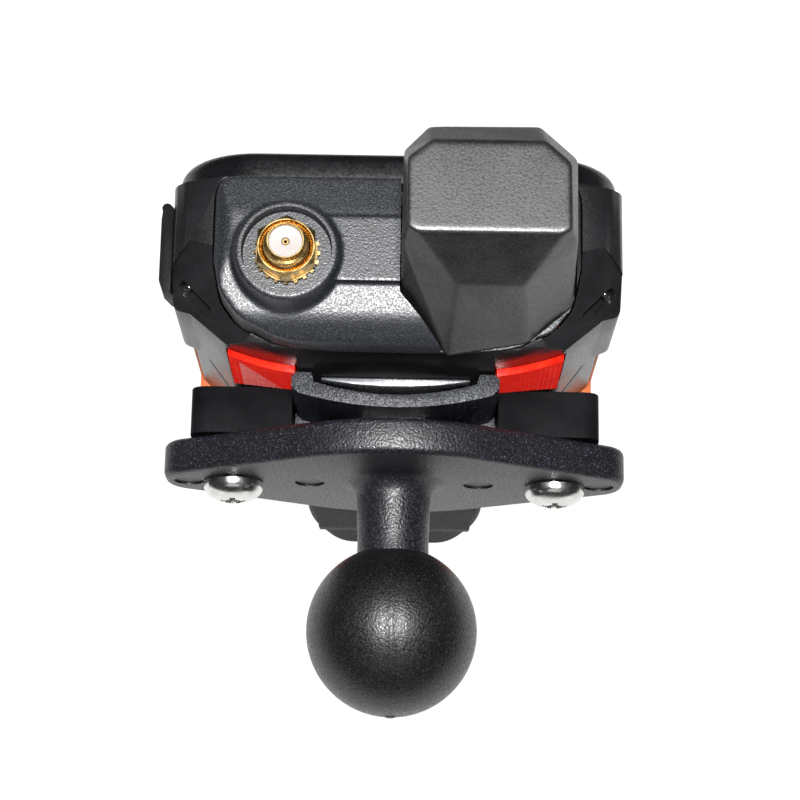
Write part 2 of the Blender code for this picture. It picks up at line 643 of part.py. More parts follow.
def make_front_cover():
    outline = rounded_rectangle(-BODY_HALF, BODY_HALF, BODY_BOTTOM, COVER_TOP, 12.0, 5)
    cover = slab("front_cover", outline, FRONT, SEAM_FRONT, "Y", SATIN_PLASTIC)
    round_edges(cover, 3.0, 3, lambda mid, way: abs(way.y) < 0.1 and mid.y < FRONT + 0.1)
    hollow = rounded_rectangle(-BODY_HALF + 2.2, BODY_HALF - 2.2, BODY_BOTTOM + 2.2,
                               COVER_TOP - 2.2, 9.8, 5)
    cut(cover, slab("front_hollow", hollow, FRONT + 1.9, -50, "Y"))
    low_x, high_x, low_z, high_z = WINDOW
    opening = rounded_rectangle(low_x, high_x, low_z, high_z, 3.0, 3)
    cut(cover, slab("window_opening", opening, -80, -50, "Y"))
    pane = rounded_rectangle(low_x + GAP, high_x - GAP, low_z + GAP, high_z - GAP, 2.7, 3)
    slab("screen_window", pane, FRONT + 0.3, FRONT + 1.7, "Y", GLASS)
    block("display_module", (low_x + 0.8, FRONT + 2.1, low_z + 0.8),
          (high_x - 0.8, FRONT + 4.9, high_z - 0.8), DISPLAY)

    for name, centre, width, height, proud in KEYS:
        x, z = centre
        radius = min(width, height) / 2 - 0.01
        way = rounded_rectangle(x - width / 2 - GAP, x + width / 2 + GAP,
                                z - height / 2 - GAP, z + height / 2 + GAP, radius, 4)
        key = rounded_rectangle(x - width / 2, x + width / 2,
                                z - height / 2, z + height / 2, radius, 4)
        cut(cover, slab(name + "_way", way, -80, -50, "Y"))
        look = ORANGE_PLASTIC if name == "sos_button" else KEY_RUBBER
        slab(name, key, FRONT - proud, FRONT + 1.6, "Y", look)
    cut(cover, disc("light_way", 1.5, -80, -50, (0, 0, 22.0), "Y", None, 16))
    disc("status_light", 1.2, FRONT + 0.1, FRONT + 3.2, (0, 0, 22.0), "Y", WHITE_INSULATOR, 16)
    mat = rounded_rectangle(-26, 26, -88, -28, 4, 3)
    slab("keypad_mat", mat, FRONT + 1.6 + KEY_TRAVEL_GAP, FRONT + 3.1, "Y", SEAL_RUBBER)

    half = LOWER_HALF - WALL - GAP
    rim = rounded_rectangle(-half, half, BODY_BOTTOM + WALL + GAP, 25.6, 9.4, 5)
    bore = rounded_rectangle(-half + 1.1, half - 1.1, BODY_BOTTOM + WALL + GAP + 1.1, 24.5, 8.3, 5)
    seal = slab("housing_seal", rim, SEAM_FRONT - 0.9, SEAM_FRONT + 1.0, "Y", SEAL_RUBBER)
    seal_bore = slab("seal_bore", bore, -80, -50, "Y")
    cut(seal, seal_bore)


def make_sos_guard():
    """Hinged guard over the distress button."""
    plate = block("sos_guard", (9.0, FRONT - 1.9, -86.0), (25.0, FRONT - 0.5, -68.5), ORANGE_PLASTIC)
    soften(plate, 0.4, 2)
    centre = (17.0, FRONT - 1.4, -68.2)
    barrel = disc("guard_barrel", 0.95, -8.0, 8.0, centre, "X", None, 12)
    join(plate, barrel)


def make_port_cover():
    """Side flap with a plug, hinged at its front edge over the charging socket."""
    shape = [(BODY_HALF + GAP, -56.3), (BODY_HALF + GAP, -43.4), (BODY_HALF + 1.0, -43.4),
             (BODY_HALF + 1.8, -45.2), (BODY_HALF + 1.8, -54.6), (BODY_HALF + 1.6, -56.3)]
    flap = slab("port_cover", shape, 7.6, 27.0, "Z", SEAL_RUBBER)
    join(flap, disc("flap_barrel", 0.75, 7.6, 27.0, (BODY_HALF + 1.05, -56.2, 0), "Z", None, 12))
    side_shape = [(-60, 5), (-48.3, 5), (-43.2, 28), (-60, 28)]
    keep_inside(flap, slab("flap_side", side_shape, 30, 36, "X"))
    join(flap, block("flap_plug", (BODY_HALF - 1.6, -54.9, 12.0), (BODY_HALF + 1.0, -48.1, 21.0)))
    socket = block("usb_socket", (23.0, -54.8, 13.0), (29.8, -48.4, 20.0), STEEL)
    cut(socket, block("socket_mouth", (25.0, -52.9, 14.2), (32, -50.3, 18.8)))


def make_coax_jack():
    centre = (JACK_X, JACK_Y, 0)
    top = JACK_TOP
    barrel = [(2.62, top), (2.62, top - 1.0), (3.15, top - 1.5), (3.15, 30.6), (5.6, 30.6),
              (5.6, 29.2), (2.3, 29.2), (2.3, top)]
    turned("coax_jack", barrel, centre, "Z", GOLD, 28)
    ring("coax_dielectric", 2.0, 0.75, 30.2, top - 0.3, centre, "Z", WHITE_INSULATOR, 20)
    disc("coax_contact", 0.45, 28.0, top - 0.8, centre, "Z", GOLD, 10)
    ring("coax_washer", 4.9, 3.5, DISC_Z + GAP, DISC_Z + 0.8, centre, "Z", GOLD, 28)
    nut = disc("coax_nut", 8.0 / math.sqrt(3), DISC_Z + 1.1, DISC_Z + 3.4, centre, "Z", GOLD, 6)
    nut.matrix_world = nut.matrix_world @ Matrix.Rotation(math.radians(30), 4, "Z")
    cut(nut, disc("coax_nut_bore", 3.45, 30, 45, centre, "Z", None, 24))
    ring("coax_seal", 5.6, 3.5, 30.9, 31.5, centre, "Z", SEAL_RUBBER, 20)


def make_electronics():
    block("main_board", (-26.5, -57.7, -88.0), (20.5, -56.3, 22.0), BOARD)
    soften(block("satellite_modem", (-16, -55.9, -5), (14, -51.5, 21), STEEL), 0.4)
    soften(block("battery", (-20.5, -55.6, -72), (20.5, -46.5, -8), CELL_WRAP), 1.5, 2)
    disc("buzzer", 5.0, -55.9, -52.5, (-8, 0, -80.0), "Y", CERAMIC, 20)


make_ball_mount()
make_plate_fasteners()
make_cradle()
make_latch()
make_top_cap()
make_antenna_block()
make_upper_housing()
make_rear_cover()
make_front_cover()
make_sos_guard()
make_port_cover()
make_coax_jack()
make_electronics()
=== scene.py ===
"""Looks of the emergency position beacon in its ball-mount cradle.

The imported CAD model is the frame: +Z is the beacon's top end, -Y its screen side, and
the mounting ball is centred on the origin. Lengths here are in millimetres until a mesh
is made, and places are read from the frame's boxes.
"""
import math

import bmesh
import bpy
from mathutils import Matrix, Vector


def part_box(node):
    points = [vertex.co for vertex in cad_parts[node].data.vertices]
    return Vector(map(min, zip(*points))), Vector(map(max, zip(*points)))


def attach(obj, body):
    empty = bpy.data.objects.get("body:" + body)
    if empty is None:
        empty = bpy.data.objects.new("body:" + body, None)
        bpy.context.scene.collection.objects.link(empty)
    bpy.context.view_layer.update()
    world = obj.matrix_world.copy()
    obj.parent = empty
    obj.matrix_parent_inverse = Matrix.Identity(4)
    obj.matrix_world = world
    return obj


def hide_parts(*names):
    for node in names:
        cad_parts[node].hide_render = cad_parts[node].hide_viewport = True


MM = 0.001
GAP = 0.3            # clearance between neighbouring pieces of the frame
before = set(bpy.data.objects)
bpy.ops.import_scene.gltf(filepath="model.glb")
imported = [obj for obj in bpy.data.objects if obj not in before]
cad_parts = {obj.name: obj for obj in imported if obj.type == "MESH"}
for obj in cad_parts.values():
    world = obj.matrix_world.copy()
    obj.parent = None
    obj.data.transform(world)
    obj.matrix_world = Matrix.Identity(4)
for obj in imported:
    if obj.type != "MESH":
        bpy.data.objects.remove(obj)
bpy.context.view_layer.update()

# The camera stands behind the ball and looks down on the beacon's top end.
LENS_MM = 100.0
CAMERA_AT = (-0.7, 58.0, 327.1)
CAMERA_DOWN = 74.0
CAMERA_ROLL = 0.95
FLOOR_Z = -125.0


# ------------------------------------------------------------ shape helpers

def span(node):
    """Lowest and highest corners of a CAD node, in millimetres."""
    low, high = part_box(node)
    return Vector(low) / MM, Vector(high) / MM


def new_object(name, mesh):
    made = bpy.data.objects.new(name, mesh)
    bpy.context.scene.collection.objects.link(made)
    return made


def bake(target):
    """Replace an object's mesh with its evaluated one."""
    bpy.context.view_layer.update()
    graph = bpy.context.evaluated_depsgraph_get()
    mesh = bpy.data.meshes.new_from_object(target.evaluated_get(graph))
    target.modifiers.clear()
    target.data = mesh
    return target


def clean(target):
    """Merge doubled points and dissolve the seams that Booleans leave in flat faces."""
    flat = 0.6
    edit = bmesh.new()
    edit.from_mesh(target.data)
    bmesh.ops.remove_doubles(edit, verts=edit.verts, dist=2e-6)
    bmesh.ops.dissolve_limit(edit, angle_limit=math.radians(flat), verts=edit.verts, edges=edit.edges)
    edit.to_mesh(target.data)
    edit.free()
    return target


def arc(centre, radius, start, end, steps):
    """Points on an arc, angles in degrees."""
    points = []
    for step in range(steps + 1):
        angle = math.radians(start + (end - start) * step / steps)
        points.append((centre[0] + radius * math.cos(angle), centre[1] + radius * math.sin(angle)))
    return points


def rounded_rectangle(low_u, high_u, low_v, high_v, radius, steps=10):
    corners = ((high_u - radius, high_v - radius, 0), (low_u + radius, high_v - radius, 90),
               (low_u + radius, low_v + radius, 180), (high_u - radius, low_v + radius, 270))
    outline = []
    for u, v, start in corners:
        outline += arc((u, v), radius, start, start + 90, steps)
    return outline


def mirrored(outline):
    """Complete an outline given from the top middle to the bottom middle at +u."""
    return outline + [(-u, v) for u, v in reversed(outline) if abs(u) > 1e-9]


def rounded_outline(points, steps=5):
    """An outline of (u, v, radius) corners, each corner turned into an arc."""
    outline = []
    count = len(points)
    for index, (u, v, radius) in enumerate(points):
        here = Vector((u, v))
        back = (Vector(points[index - 1][:2]) - here)
        ahead = (Vector(points[(index + 1) % count][:2]) - here)
        turn = back.angle(ahead)
        if radius <= 0 or turn > math.radians(178):
            outline.append((u, v))
            continue
        reach = min(radius / math.tan(turn / 2), back.length * 0.49, ahead.length * 0.49)
        first = here + back.normalized() * reach
        last = here + ahead.normalized() * reach
        for step in range(steps + 1):
            t = step / steps
            point = first.lerp(here, t).lerp(here.lerp(last, t), t)
            outline.append((point.x, point.y))
    return outline


def slab(name, outline, low, high, axis):
    """An outline in (x, y), (x, z) or (y, z), made thick along Z, Y or X."""
    edit = bmesh.new()
    place = {"Z": lambda u, v, w: (u, v, w), "Y": lambda u, v, w: (u, w, v),
             "X": lambda u, v, w: (w, u, v)}[axis]
    vertices = [edit.verts.new(Vector(place(u, v, low)) * MM) for u, v in outline]
    face = edit.faces.new(vertices)
    grown = bmesh.ops.extrude_face_region(edit, geom=[face])
    raised = [item for item in grown["geom"] if isinstance(item, bmesh.types.BMVert)]
    bmesh.ops.translate(edit, verts=raised, vec=Vector(place(0, 0, high - low)) * MM)
    bmesh.ops.recalc_face_normals(edit, faces=edit.faces)
    mesh = bpy.data.meshes.new(name)
    edit.to_mesh(mesh)
    edit.free()
    return new_object(name, mesh)


def block(name, low, high):
    """A box between two corners, used as a cutter or as the start of a piece."""
    outline = [(low[0], low[1]), (high[0], low[1]), (high[0], high[1]), (low[0], high[1])]
    return slab(name, outline, low[2], high[2], "Z")


AXIS_TURN = {"Z": Matrix.Identity(4), "Y": Matrix.Rotation(math.radians(-90), 4, "X"),
             "X": Matrix.Rotation(math.radians(90), 4, "Y")}


def turned(name, profile, centre, axis, steps=64):
    """A profile of (radius, height) points turned about an axis, top to bottom."""
    mesh = bpy.data.meshes.new(name)
    edges = [(i, i + 1) for i in range(len(profile) - 1)]
    if profile[0][0] > 0.0:
        edges.append((len(profile) - 1, 0))
    mesh.from_pydata([(radius * MM, 0.0, height * MM) for radius, height in profile], edges, [])
    made = new_object(name, mesh)
    screw = made.modifiers.new("turn", "SCREW")
    screw.steps = steps
    screw.render_steps = steps
    screw.use_merge_vertices = True
    screw.merge_threshold = 1e-6
    bake(made)
    made.data.transform(Matrix.Translation(Vector(centre) * MM) @ AXIS_TURN[axis])
    return made


def disc(name, radius, low, high, centre, axis, steps=48):
    return turned(name, [(0, high), (radius, high), (radius, low), (0, low)], centre, axis, steps)


def combine(target, operation, tools):
    """Cut, join or intersect at once, and remove the tools."""
    for tool in tools:
        modifier = target.modifiers.new(operation, "BOOLEAN")
        modifier.operation = operation
        modifier.object = tool
        modifier.solver = "EXACT"
    bake(target)
    for tool in tools:
        bpy.data.objects.remove(tool, do_unlink=True)
    return target


def cut(target, *tools):
    return combine(target, "DIFFERENCE", tools)


def join(target, *tools):
    return combine(target, "UNION", tools)


def keep_inside(target, *tools):
    return combine(target, "INTERSECT", tools)


def round_edges(target, radius, segments, chosen):
    """Round the edges that a test of middle and direction picks, in millimetres."""
    edit = bmesh.new()
    edit.from_mesh(target.data)
    picked = []
    for edge in edit.edges:
        first, second = (vertex.co / MM for vertex in edge.verts)
        if chosen((first + second) / 2, (second - first).normalized()):
            picked.append(edge)
    bmesh.ops.bevel(edit, geom=picked, offset=radius * MM, offset_type="OFFSET",
                    segments=segments, profile=0.5, affect="EDGES", clamp_overlap=True)
    edit.to_mesh(target.data)
    edit.free()
    return target


def soften(target, radius, segments=3, angle=32):
    """Round every edge sharper than an angle."""
    clean(target)
    bevel = target.modifiers.new("soften", "BEVEL")
    bevel.width = radius * MM
    bevel.segments = segments
    bevel.limit_method = "ANGLE"
    bevel.angle_limit = math.radians(angle)
    bevel.use_clamp_overlap = True
    bevel.miter_outer = "MITER_ARC"
    return bake(target)


def melt(target, voxel, passes):
    """Remesh to an even grid and relax it, which fillets every edge like a moulding."""
    remesh = target.modifiers.new("voxels", "REMESH")
    remesh.mode = "VOXEL"
    remesh.voxel_size = voxel * MM
    remesh.adaptivity = 0.0
    relax = target.modifiers.new("relax", "SMOOTH")
    relax.factor = 0.5
    relax.iterations = passes
    return bake(target)


def loft(name, rings):
    """A solid through rings of equally many points, closed at both ends."""
    edit = bmesh.new()
    levels = [[edit.verts.new(Vector(point) * MM) for point in ring] for ring in rings]
    count = len(rings[0])
    for upper, lower in zip(levels, levels[1:]):
        for index in range(count):
            after = (index + 1) % count
            edit.faces.new((upper[index], upper[after], lower[after], lower[index]))
    edit.faces.new(levels[0])
    edit.faces.new(levels[-1])
    bmesh.ops.remove_doubles(edit, verts=edit.verts, dist=1e-6)
    bmesh.ops.recalc_face_normals(edit, faces=edit.faces)
    mesh = bpy.data.meshes.new(name)
    edit.to_mesh(mesh)
    edit.free()
    return new_object(name, mesh)


def smooth(target, angle=30):
    target.data.shade_smooth()
    target.data.set_sharp_from_angle(angle=math.radians(angle))
    return target


# ---------------------------------------------------------------- materials

class Look:
    """A node material built around one Principled shader."""

    def __init__(self, name, colour, roughness, metallic=0.0):
        self.material = bpy.data.materials.new(name)
        self.material.use_nodes = True
        self.tree = self.material.node_tree
        self.shader = self.tree.nodes["Principled BSDF"]
        self.set("Base Color", (*colour, 1.0))
        self.set("Roughness", roughness)
        self.set("Metallic", metallic)
        self.colour = colour
        self.place = self.node("ShaderNodeTexCoord").outputs["Object"]

    def set(self, socket, value):
        self.shader.inputs[socket].default_value = value

    def node(self, kind, **settings):
        made = self.tree.nodes.new(kind)
        for key, value in settings.items():
            setattr(made, key, value)
        return made

    def link(self, output, target):
        self.tree.links.new(output, target)

    def noise(self, size_mm, detail=2.0, roughness=0.5, distortion=0.0):
        """Noise whose blobs are about size_mm across."""
        made = self.node("ShaderNodeTexNoise")
        made.inputs["Scale"].default_value = 1.0 / (size_mm * MM)
        made.inputs["Detail"].default_value = detail
        made.inputs["Roughness"].default_value = roughness
        made.inputs["Distortion"].default_value = distortion
        self.link(self.place, made.inputs["Vector"])
        return made.outputs["Fac"]

    def cells(self, size_mm):
        made = self.node("ShaderNodeTexVoronoi", feature="F1")
        made.inputs["Scale"].default_value = 1.0 / (size_mm * MM)
        self.link(self.place, made.inputs["Vector"])
        return made.outputs["Distance"]

    def spread(self, value, low_in, high_in, low_out, high_out):
        made = self.node("ShaderNodeMapRange")
        for index, number in zip(range(1, 5), (low_in, high_in, low_out, high_out)):
            made.inputs[index].default_value = number
        self.link(value, made.inputs[0])
        return made.outputs[0]

    def math(self, operation, first, second):
        made = self.node("ShaderNodeMath", operation=operation)
        for index, value in enumerate((first, second)):
            if isinstance(value, (int, float)):
                made.inputs[index].default_value = value
            else:
                self.link(value, made.inputs[index])
        return made.outputs[0]

    def mix(self, factor, first, second):
        """Blend two colours, or a colour output and a colour."""
        made = self.node("ShaderNodeMix", data_type="RGBA")
        self.link(factor, made.inputs[0])
        for index, value in ((6, first), (7, second)):
            if isinstance(value, tuple):
                made.inputs[index].default_value = (*value, 1.0)
            else:
                self.link(value, made.inputs[index])
        return made.outputs[2]

    def tint(self, output):
        self.link(output, self.shader.inputs["Base Color"])

    def rough(self, output):
        self.link(output, self.shader.inputs["Roughness"])

    def bump(self, height, depth_mm, strength=1.0):
        """Add a bump layer; layers stack."""
        made = self.node("ShaderNodeBump")
        made.inputs["Strength"].default_value = strength
        made.inputs["Distance"].default_value = depth_mm * MM
        self.link(height, made.inputs["Height"])
        if self.shader.inputs["Normal"].is_linked:
            self.link(self.shader.inputs["Normal"].links[0].from_socket, made.inputs["Normal"])
        self.link(made.outputs["Normal"], self.shader.inputs["Normal"])

    def edge_wear(self, colour, size_mm=0.8, amount=0.5):
        """Pale rubbed edges, broken up by noise."""
        bevel = self.node("ShaderNodeNewGeometry").outputs["Pointiness"]
        edge = self.spread(bevel, 0.52, 0.6, 0.0, amount)
        broken = self.spread(self.noise(size_mm, 3.0), 0.4, 0.65, 0.0, 1.0)
        base = self.shader.inputs["Base Color"]
        current = base.links[0].from_socket if base.is_linked else self.colour
        self.tint(self.mix(self.math("MULTIPLY", edge, broken), current, colour))


def moulded(name, colour, roughness, grain_mm, depth_mm, variation):
    """Moulded plastic: fine grain, faint colour and gloss variation."""
    look = Look(name, colour, roughness)
    blotch = look.noise(6.0, 3.0)
    lighter = tuple(min(1.0, c * (1 + variation) + 0.002) for c in colour)
    darker = tuple(c * (1 - variation) for c in colour)
    look.tint(look.mix(look.spread(blotch, 0.35, 0.65, 0.0, 1.0), darker, lighter))
    fine = look.noise(grain_mm, 2.0, 0.6)
    look.rough(look.spread(fine, 0.3, 0.7, roughness - 0.08, roughness + 0.1))
    look.bump(fine, depth_mm)
    return look


def spark_texture(name, colour, painted_glint_colour, roughness=0.42, grain_mm=0.22, depth_mm=0.03):
    """Spark-eroded or powder-coated black with a bumped grain; pale dots in its colour are painted
    glints that stand in for grains catching the light.
    """
    look = Look(name, colour, roughness)
    grains = look.noise(grain_mm, 1.0, 0.5)
    pits = look.cells(grain_mm * 1.4)
    height = look.math("ADD", grains, look.math("MULTIPLY", pits, 0.6))
    look.bump(height, depth_mm)
    patchy = look.noise(9.0, 3.0)
    shade = look.mix(look.spread(patchy, 0.35, 0.65, 0.0, 1.0),
                     tuple(c * 0.75 for c in colour), tuple(c * 1.25 for c in colour))
    # painted glints: pale bluish dots mixed into the base colour stand in for highlights on single
    # grains
    painted_glints = look.spread(look.noise(grain_mm * 0.9, 1.0), 0.6, 0.72, 0.0, 1.0)
    look.tint(look.mix(painted_glints, shade, painted_glint_colour))
    look.rough(look.spread(grains, 0.3, 0.7, roughness - 0.12, roughness + 0.14))
    look.set("Specular IOR Level", 1.0)
    return look


def make_looks():
    looks = {}
    # The second colour given to each spark texture is the colour of its painted glints.
    looks["black"] = spark_texture("end_face_black", (0.008, 0.009, 0.012), (0.05, 0.055, 0.075), 0.44,
                                   0.24, 0.035)
    looks["black"].set("Specular IOR Level", 0.85)
    looks["powder"] = spark_texture("powder_coat_black", (0.006, 0.006, 0.008), (0.05, 0.055, 0.08),
                                    0.42, 0.3, 0.06)
    looks["powder"].set("Specular IOR Level", 0.5)
    looks["latch"] = spark_texture("latch_black", (0.008, 0.009, 0.012), (0.1, 0.11, 0.13), 0.46, 0.26,
                                   0.05)
    looks["latch"].set("Specular IOR Level", 0.3)
    satin = moulded("antenna_satin", (0.012, 0.0115, 0.011), 0.38, 0.35, 0.02, 0.4)
    scuff = satin.spread(satin.noise(2.2, 5.0, 0.7, 2.5), 0.66, 0.72, 0.0, 0.35)
    base = satin.shader.inputs["Base Color"].links[0].from_socket
    satin.tint(satin.mix(scuff, base, (0.12, 0.115, 0.11)))
    satin.edge_wear((0.1, 0.1, 0.095), 1.2, 0.35)
    satin.set("Specular IOR Level", 0.85)
    looks["antenna"] = satin
    looks["satin"] = moulded("housing_satin", (0.008, 0.008, 0.009), 0.34, 0.3, 0.015, 0.2)
    looks["front"] = moulded("front_satin", (0.004, 0.004, 0.005), 0.3, 0.4, 0.01, 0.2)
    looks["front"].set("Specular IOR Level", 0.25)
    looks["cradle"] = moulded("cradle_matte", (0.005, 0.005, 0.006), 0.45, 0.3, 0.02, 0.2)
    looks["cradle"].set("IOR", 1.08)
    looks["rubber"] = spark_texture("ball_rubber", (0.003, 0.003, 0.0035), (0.02, 0.02, 0.022), 0.4,
                                    0.3, 0.04)
    looks["rubber"].set("Specular IOR Level", 0.65)
    looks["seal"] = moulded("soft_rubber", (0.005, 0.005, 0.006), 0.5, 0.4, 0.02, 0.2)
    looks["seal"].set("IOR", 1.15)
    looks["keys"] = moulded("key_rubber", (0.04, 0.041, 0.044), 0.6, 0.3, 0.02, 0.15)
    looks["orange"] = moulded("orange_shell", (0.83, 0.16, 0.015), 0.42, 0.35, 0.02, 0.08)
    looks["grey"] = moulded("ledge_grey", (0.1, 0.105, 0.115), 0.26, 0.5, 0.01, 0.1)
    looks["white"] = moulded("white_insulator", (0.36, 0.33, 0.315), 0.35, 0.3, 0.01, 0.04)
    looks["board"] = moulded("board_green", (0.012, 0.1, 0.035), 0.35, 1.5, 0.03, 0.3)
    looks["ceramic"] = moulded("fired_ceramic", (0.55, 0.48, 0.36), 0.5, 0.3, 0.02, 0.1)
    looks["film"] = moulded("cell_film", (0.05, 0.07, 0.2), 0.25, 2.0, 0.02, 0.2)
    looks["display"] = moulded("display_grey", (0.16, 0.19, 0.15), 0.2, 0.6, 0.005, 0.1)
    looks["steel"] = metal("polished_steel", (0.72, 0.71, 0.69), 0.2)
    looks["gold"] = metal("gold_plate", (0.86, 0.6, 0.24), 0.22)
    looks["dull_gold"] = metal("dull_gold", (0.3, 0.21, 0.09), 0.45)
    looks["glass"] = glass("window_glass")
    looks["lens"] = lens_look("lens_red", False)
    looks["lens_clear"] = lens_look("lens_red_and_clear", True)
    return looks


def metal(name, colour, roughness):
    look = Look(name, colour, roughness, 1.0)
    smear = look.noise(1.6, 4.0, 0.65)
    look.rough(look.spread(smear, 0.3, 0.7, roughness - 0.06, roughness + 0.14))
    look.tint(look.mix(look.spread(smear, 0.4, 0.7, 0.0, 1.0), colour, tuple(c * 0.8 for c in colour)))
    look.bump(look.noise(0.25, 2.0), 0.004)
    return look


def glass(name):
    look = Look(name, (0.02, 0.022, 0.025), 0.06)
    look.set("Transmission Weight", 0.55)
    look.set("IOR", 1.49)
    look.set("Coat Weight", 0.6)
    look.rough(look.spread(look.noise(3.0, 3.0), 0.3, 0.7, 0.03, 0.09))
    return look


def lens_look(name, with_clear):
    """Red moulded lens with a painted red glow; the one on the jack's side has a clear lower corner."""
    look = Look(name, (0.75, 0.012, 0.006), 0.25)
    cloud = look.noise(3.0, 2.0)
    red = look.mix(look.spread(cloud, 0.35, 0.65, 0.0, 1.0), (0.62, 0.008, 0.004), (0.9, 0.03, 0.012))
    look.set("Transmission Weight", 0.1)
    look.set("IOR", 1.5)
    # painted glow: a faint red emission stands in for light shining through the lens, though no lamp is
    # lit
    look.set("Emission Color", (0.9, 0.02, 0.01, 1.0))
    look.set("Emission Strength", 0.38)
    if with_clear:
        axes = look.node("ShaderNodeSeparateXYZ")
        look.link(look.place, axes.inputs[0])
        low, high = span("marker_lens_right")
        across = look.spread(axes.outputs[0], (low.x + 2.0) * MM, (high.x - 1.4) * MM, 0.0, 1.0)
        rise = look.spread(axes.outputs[2], low.z * MM, (high.z - 2.4) * MM, 0.0, 1.0)
        clear = look.spread(look.math("SUBTRACT", across, rise), 0.0, 0.06, 0.0, 1.0)
        side = look.spread(axes.outputs[0], (high.x - 1.5) * MM, (high.x - 1.3) * MM, 1.0, 0.0)
        red = look.mix(look.math("MULTIPLY", clear, side), red, (0.6, 0.5, 0.47))
    look.tint(red)
    look.rough(look.spread(look.noise(0.5, 2.0), 0.3, 0.7, 0.2, 0.32))
    return look


LOOKS = make_looks()


def dress(piece, look, body, slot, *nodes, angle=30):
    """Finish a piece: smooth it, give it a look and a body, and hide the node it stands for."""
    smooth(piece, angle)
    piece.data.materials.clear()
    piece.data.materials.append(LOOKS[look].material)
    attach(piece, body)
    if nodes:
        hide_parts(*nodes)
    return piece


# ----------------------------------------------------------------- ball mount

def make_ball():
    radius = span("ball_cover")[1].y
    ridge = 0.05
    top = [(radius * math.cos(math.radians(a)), radius * math.sin(math.radians(a)))
           for a in range(87, 3, -3)]
    rim = [(radius - 0.004, 0.32), (radius + ridge, 0.1), (radius + ridge, -0.1),
           (radius - 0.004, -0.32)]
    profile = [(0.0, radius)] + top + rim + [(r, -z) for r, z in reversed(top)] + [(0.0, -radius)]
    skin = turned("ball_skin", profile, (0, 0, 0), "X", 144)
    core = turned("core_way", [(0.0, 11.0)] + arc((0, 0), 11.0, 80, -80, 16) + [(0.0, -11.0)],
                  (0, 0, 0), "Y", 48)
    stem_way = [(0, -8), (5.5, -8), (5.5, -11.2), (6.2, -12.4), (6.2, -30), (0, -30)]
    cut(skin, core, turned("stem_way", stem_way, (0, 0, 0), "Y", 64))
    nub = turned("ball_nub", [(0, 0.2), (0.6, 0.18), (0.85, 0.02), (0.85, -0.6), (0, -0.6)],
                 (0, radius, 0), "Y", 32)
    join(skin, nub)
    dress(skin, "rubber", "mount", "ball_rubber", "ball_cover", angle=50)


def plate_outline(high):
    """A rhombus with a round crown and round tips, in x and z."""
    crown_r, tip_r, flank = 26.5, 5.0, 28.3
    crown_centre = high.z - crown_r
    slope = math.radians(flank)
    peak = crown_centre + crown_r / math.cos(slope)
    tip_x = high.x - tip_r
    tip_z = peak - math.tan(slope) * tip_x - tip_r / math.cos(slope)
    upper = arc((0, crown_centre), crown_r, 90, 90 - flank, 16)
    upper += arc((tip_x, tip_z), tip_r, 90 - flank, 0, 14)
    return mirrored(upper + [(x, -z) for x, z in reversed(upper)])


def make_base():
    low, high = span("ball_base")
    core_r, plate_back = 10.7, 22.5
    back = high.y - core_r - plate_back
    screw_x = sum(span("plate_screw_right")[i].x for i in (0, 1)) / 2
    plate = slab("diamond_base", plate_outline(high), low.y, back, "Y")
    round_edges(plate, 0.95, 4, lambda mid, way: abs(way.y) < 0.1)
    stem = arc((0, 0), core_r, 90, -58, 20)
    stem[0] = (0.0, core_r)
    stem += [(5.35, -10.2), (5.35, -14.0), (5.5, -17.5)]
    stem += arc((8.3, back + 2.8), 2.8, 180, 270, 8) + [(8.3, back - 0.4), (0, back - 0.4)]
    join(plate, turned("stem", stem, (0, 0, 0), "Y", 72))
    ways = []
    for side in (-1, 1):
        ways.append(disc("plate_way", 2.3, -40, -10, (side * screw_x, 0, 0), "Y"))
        ways.append(turned("crescent", [(0, 1), (2.25, 1), (2.25, -0.3), (0, -0.3)],
                           (side * 12.75, back, 0), "Y", 40))
        ways.append(turned("tip_mark", [(0, 1), (2.25, 1), (2.25, -0.3), (0, -0.3)],
                           (side * 31.0, back, 0), "Y", 40))
    cut(plate, *ways)
    dress(plate, "powder", "mount", "powder_coat", "ball_base", angle=38)


def make_plate_screws():
    for label in ("left", "right"):
        node = "plate_screw_" + label
        low, high = span(node)
        centre = ((low.x + high.x) / 2, high.y - 2.45, 0)
        dome = [(0, 2.9)] + [(4.5 * math.sin(math.radians(a)), 0.5 + 2.4 * math.cos(math.radians(a)))
                             for a in range(8, 91, 6)]
        shank = []
        for turn in range(12):
            shank += [(2.0, -0.9 - turn), (1.72, -1.25 - turn)]
        screw = turned(node + "_fine", dome + [(4.5, 0.0), (2.0, 0.0)] + shank + [(0, -12.7)],
                       centre, "Y", 64)
        flute = 3.7
        tools = []
        for wide, tall in ((flute, 0.85), (0.85, flute)):
            tool = block("flute", (-wide / 2, 1.0, -tall / 2), (wide / 2, 4.5, tall / 2))
            tools.append(tool)
            tool.data.transform(Matrix.Translation(Vector(centre) * MM))
        tools.append(turned("flute_heart", [(0, 4), (1.25, 4), (1.2, 1.6), (0.5, 0.2), (0, 0.2)],
                            centre, "Y", 32))
        cut(screw, *tools)
        dress(screw, "steel", "mount", "steel", node, angle=28)


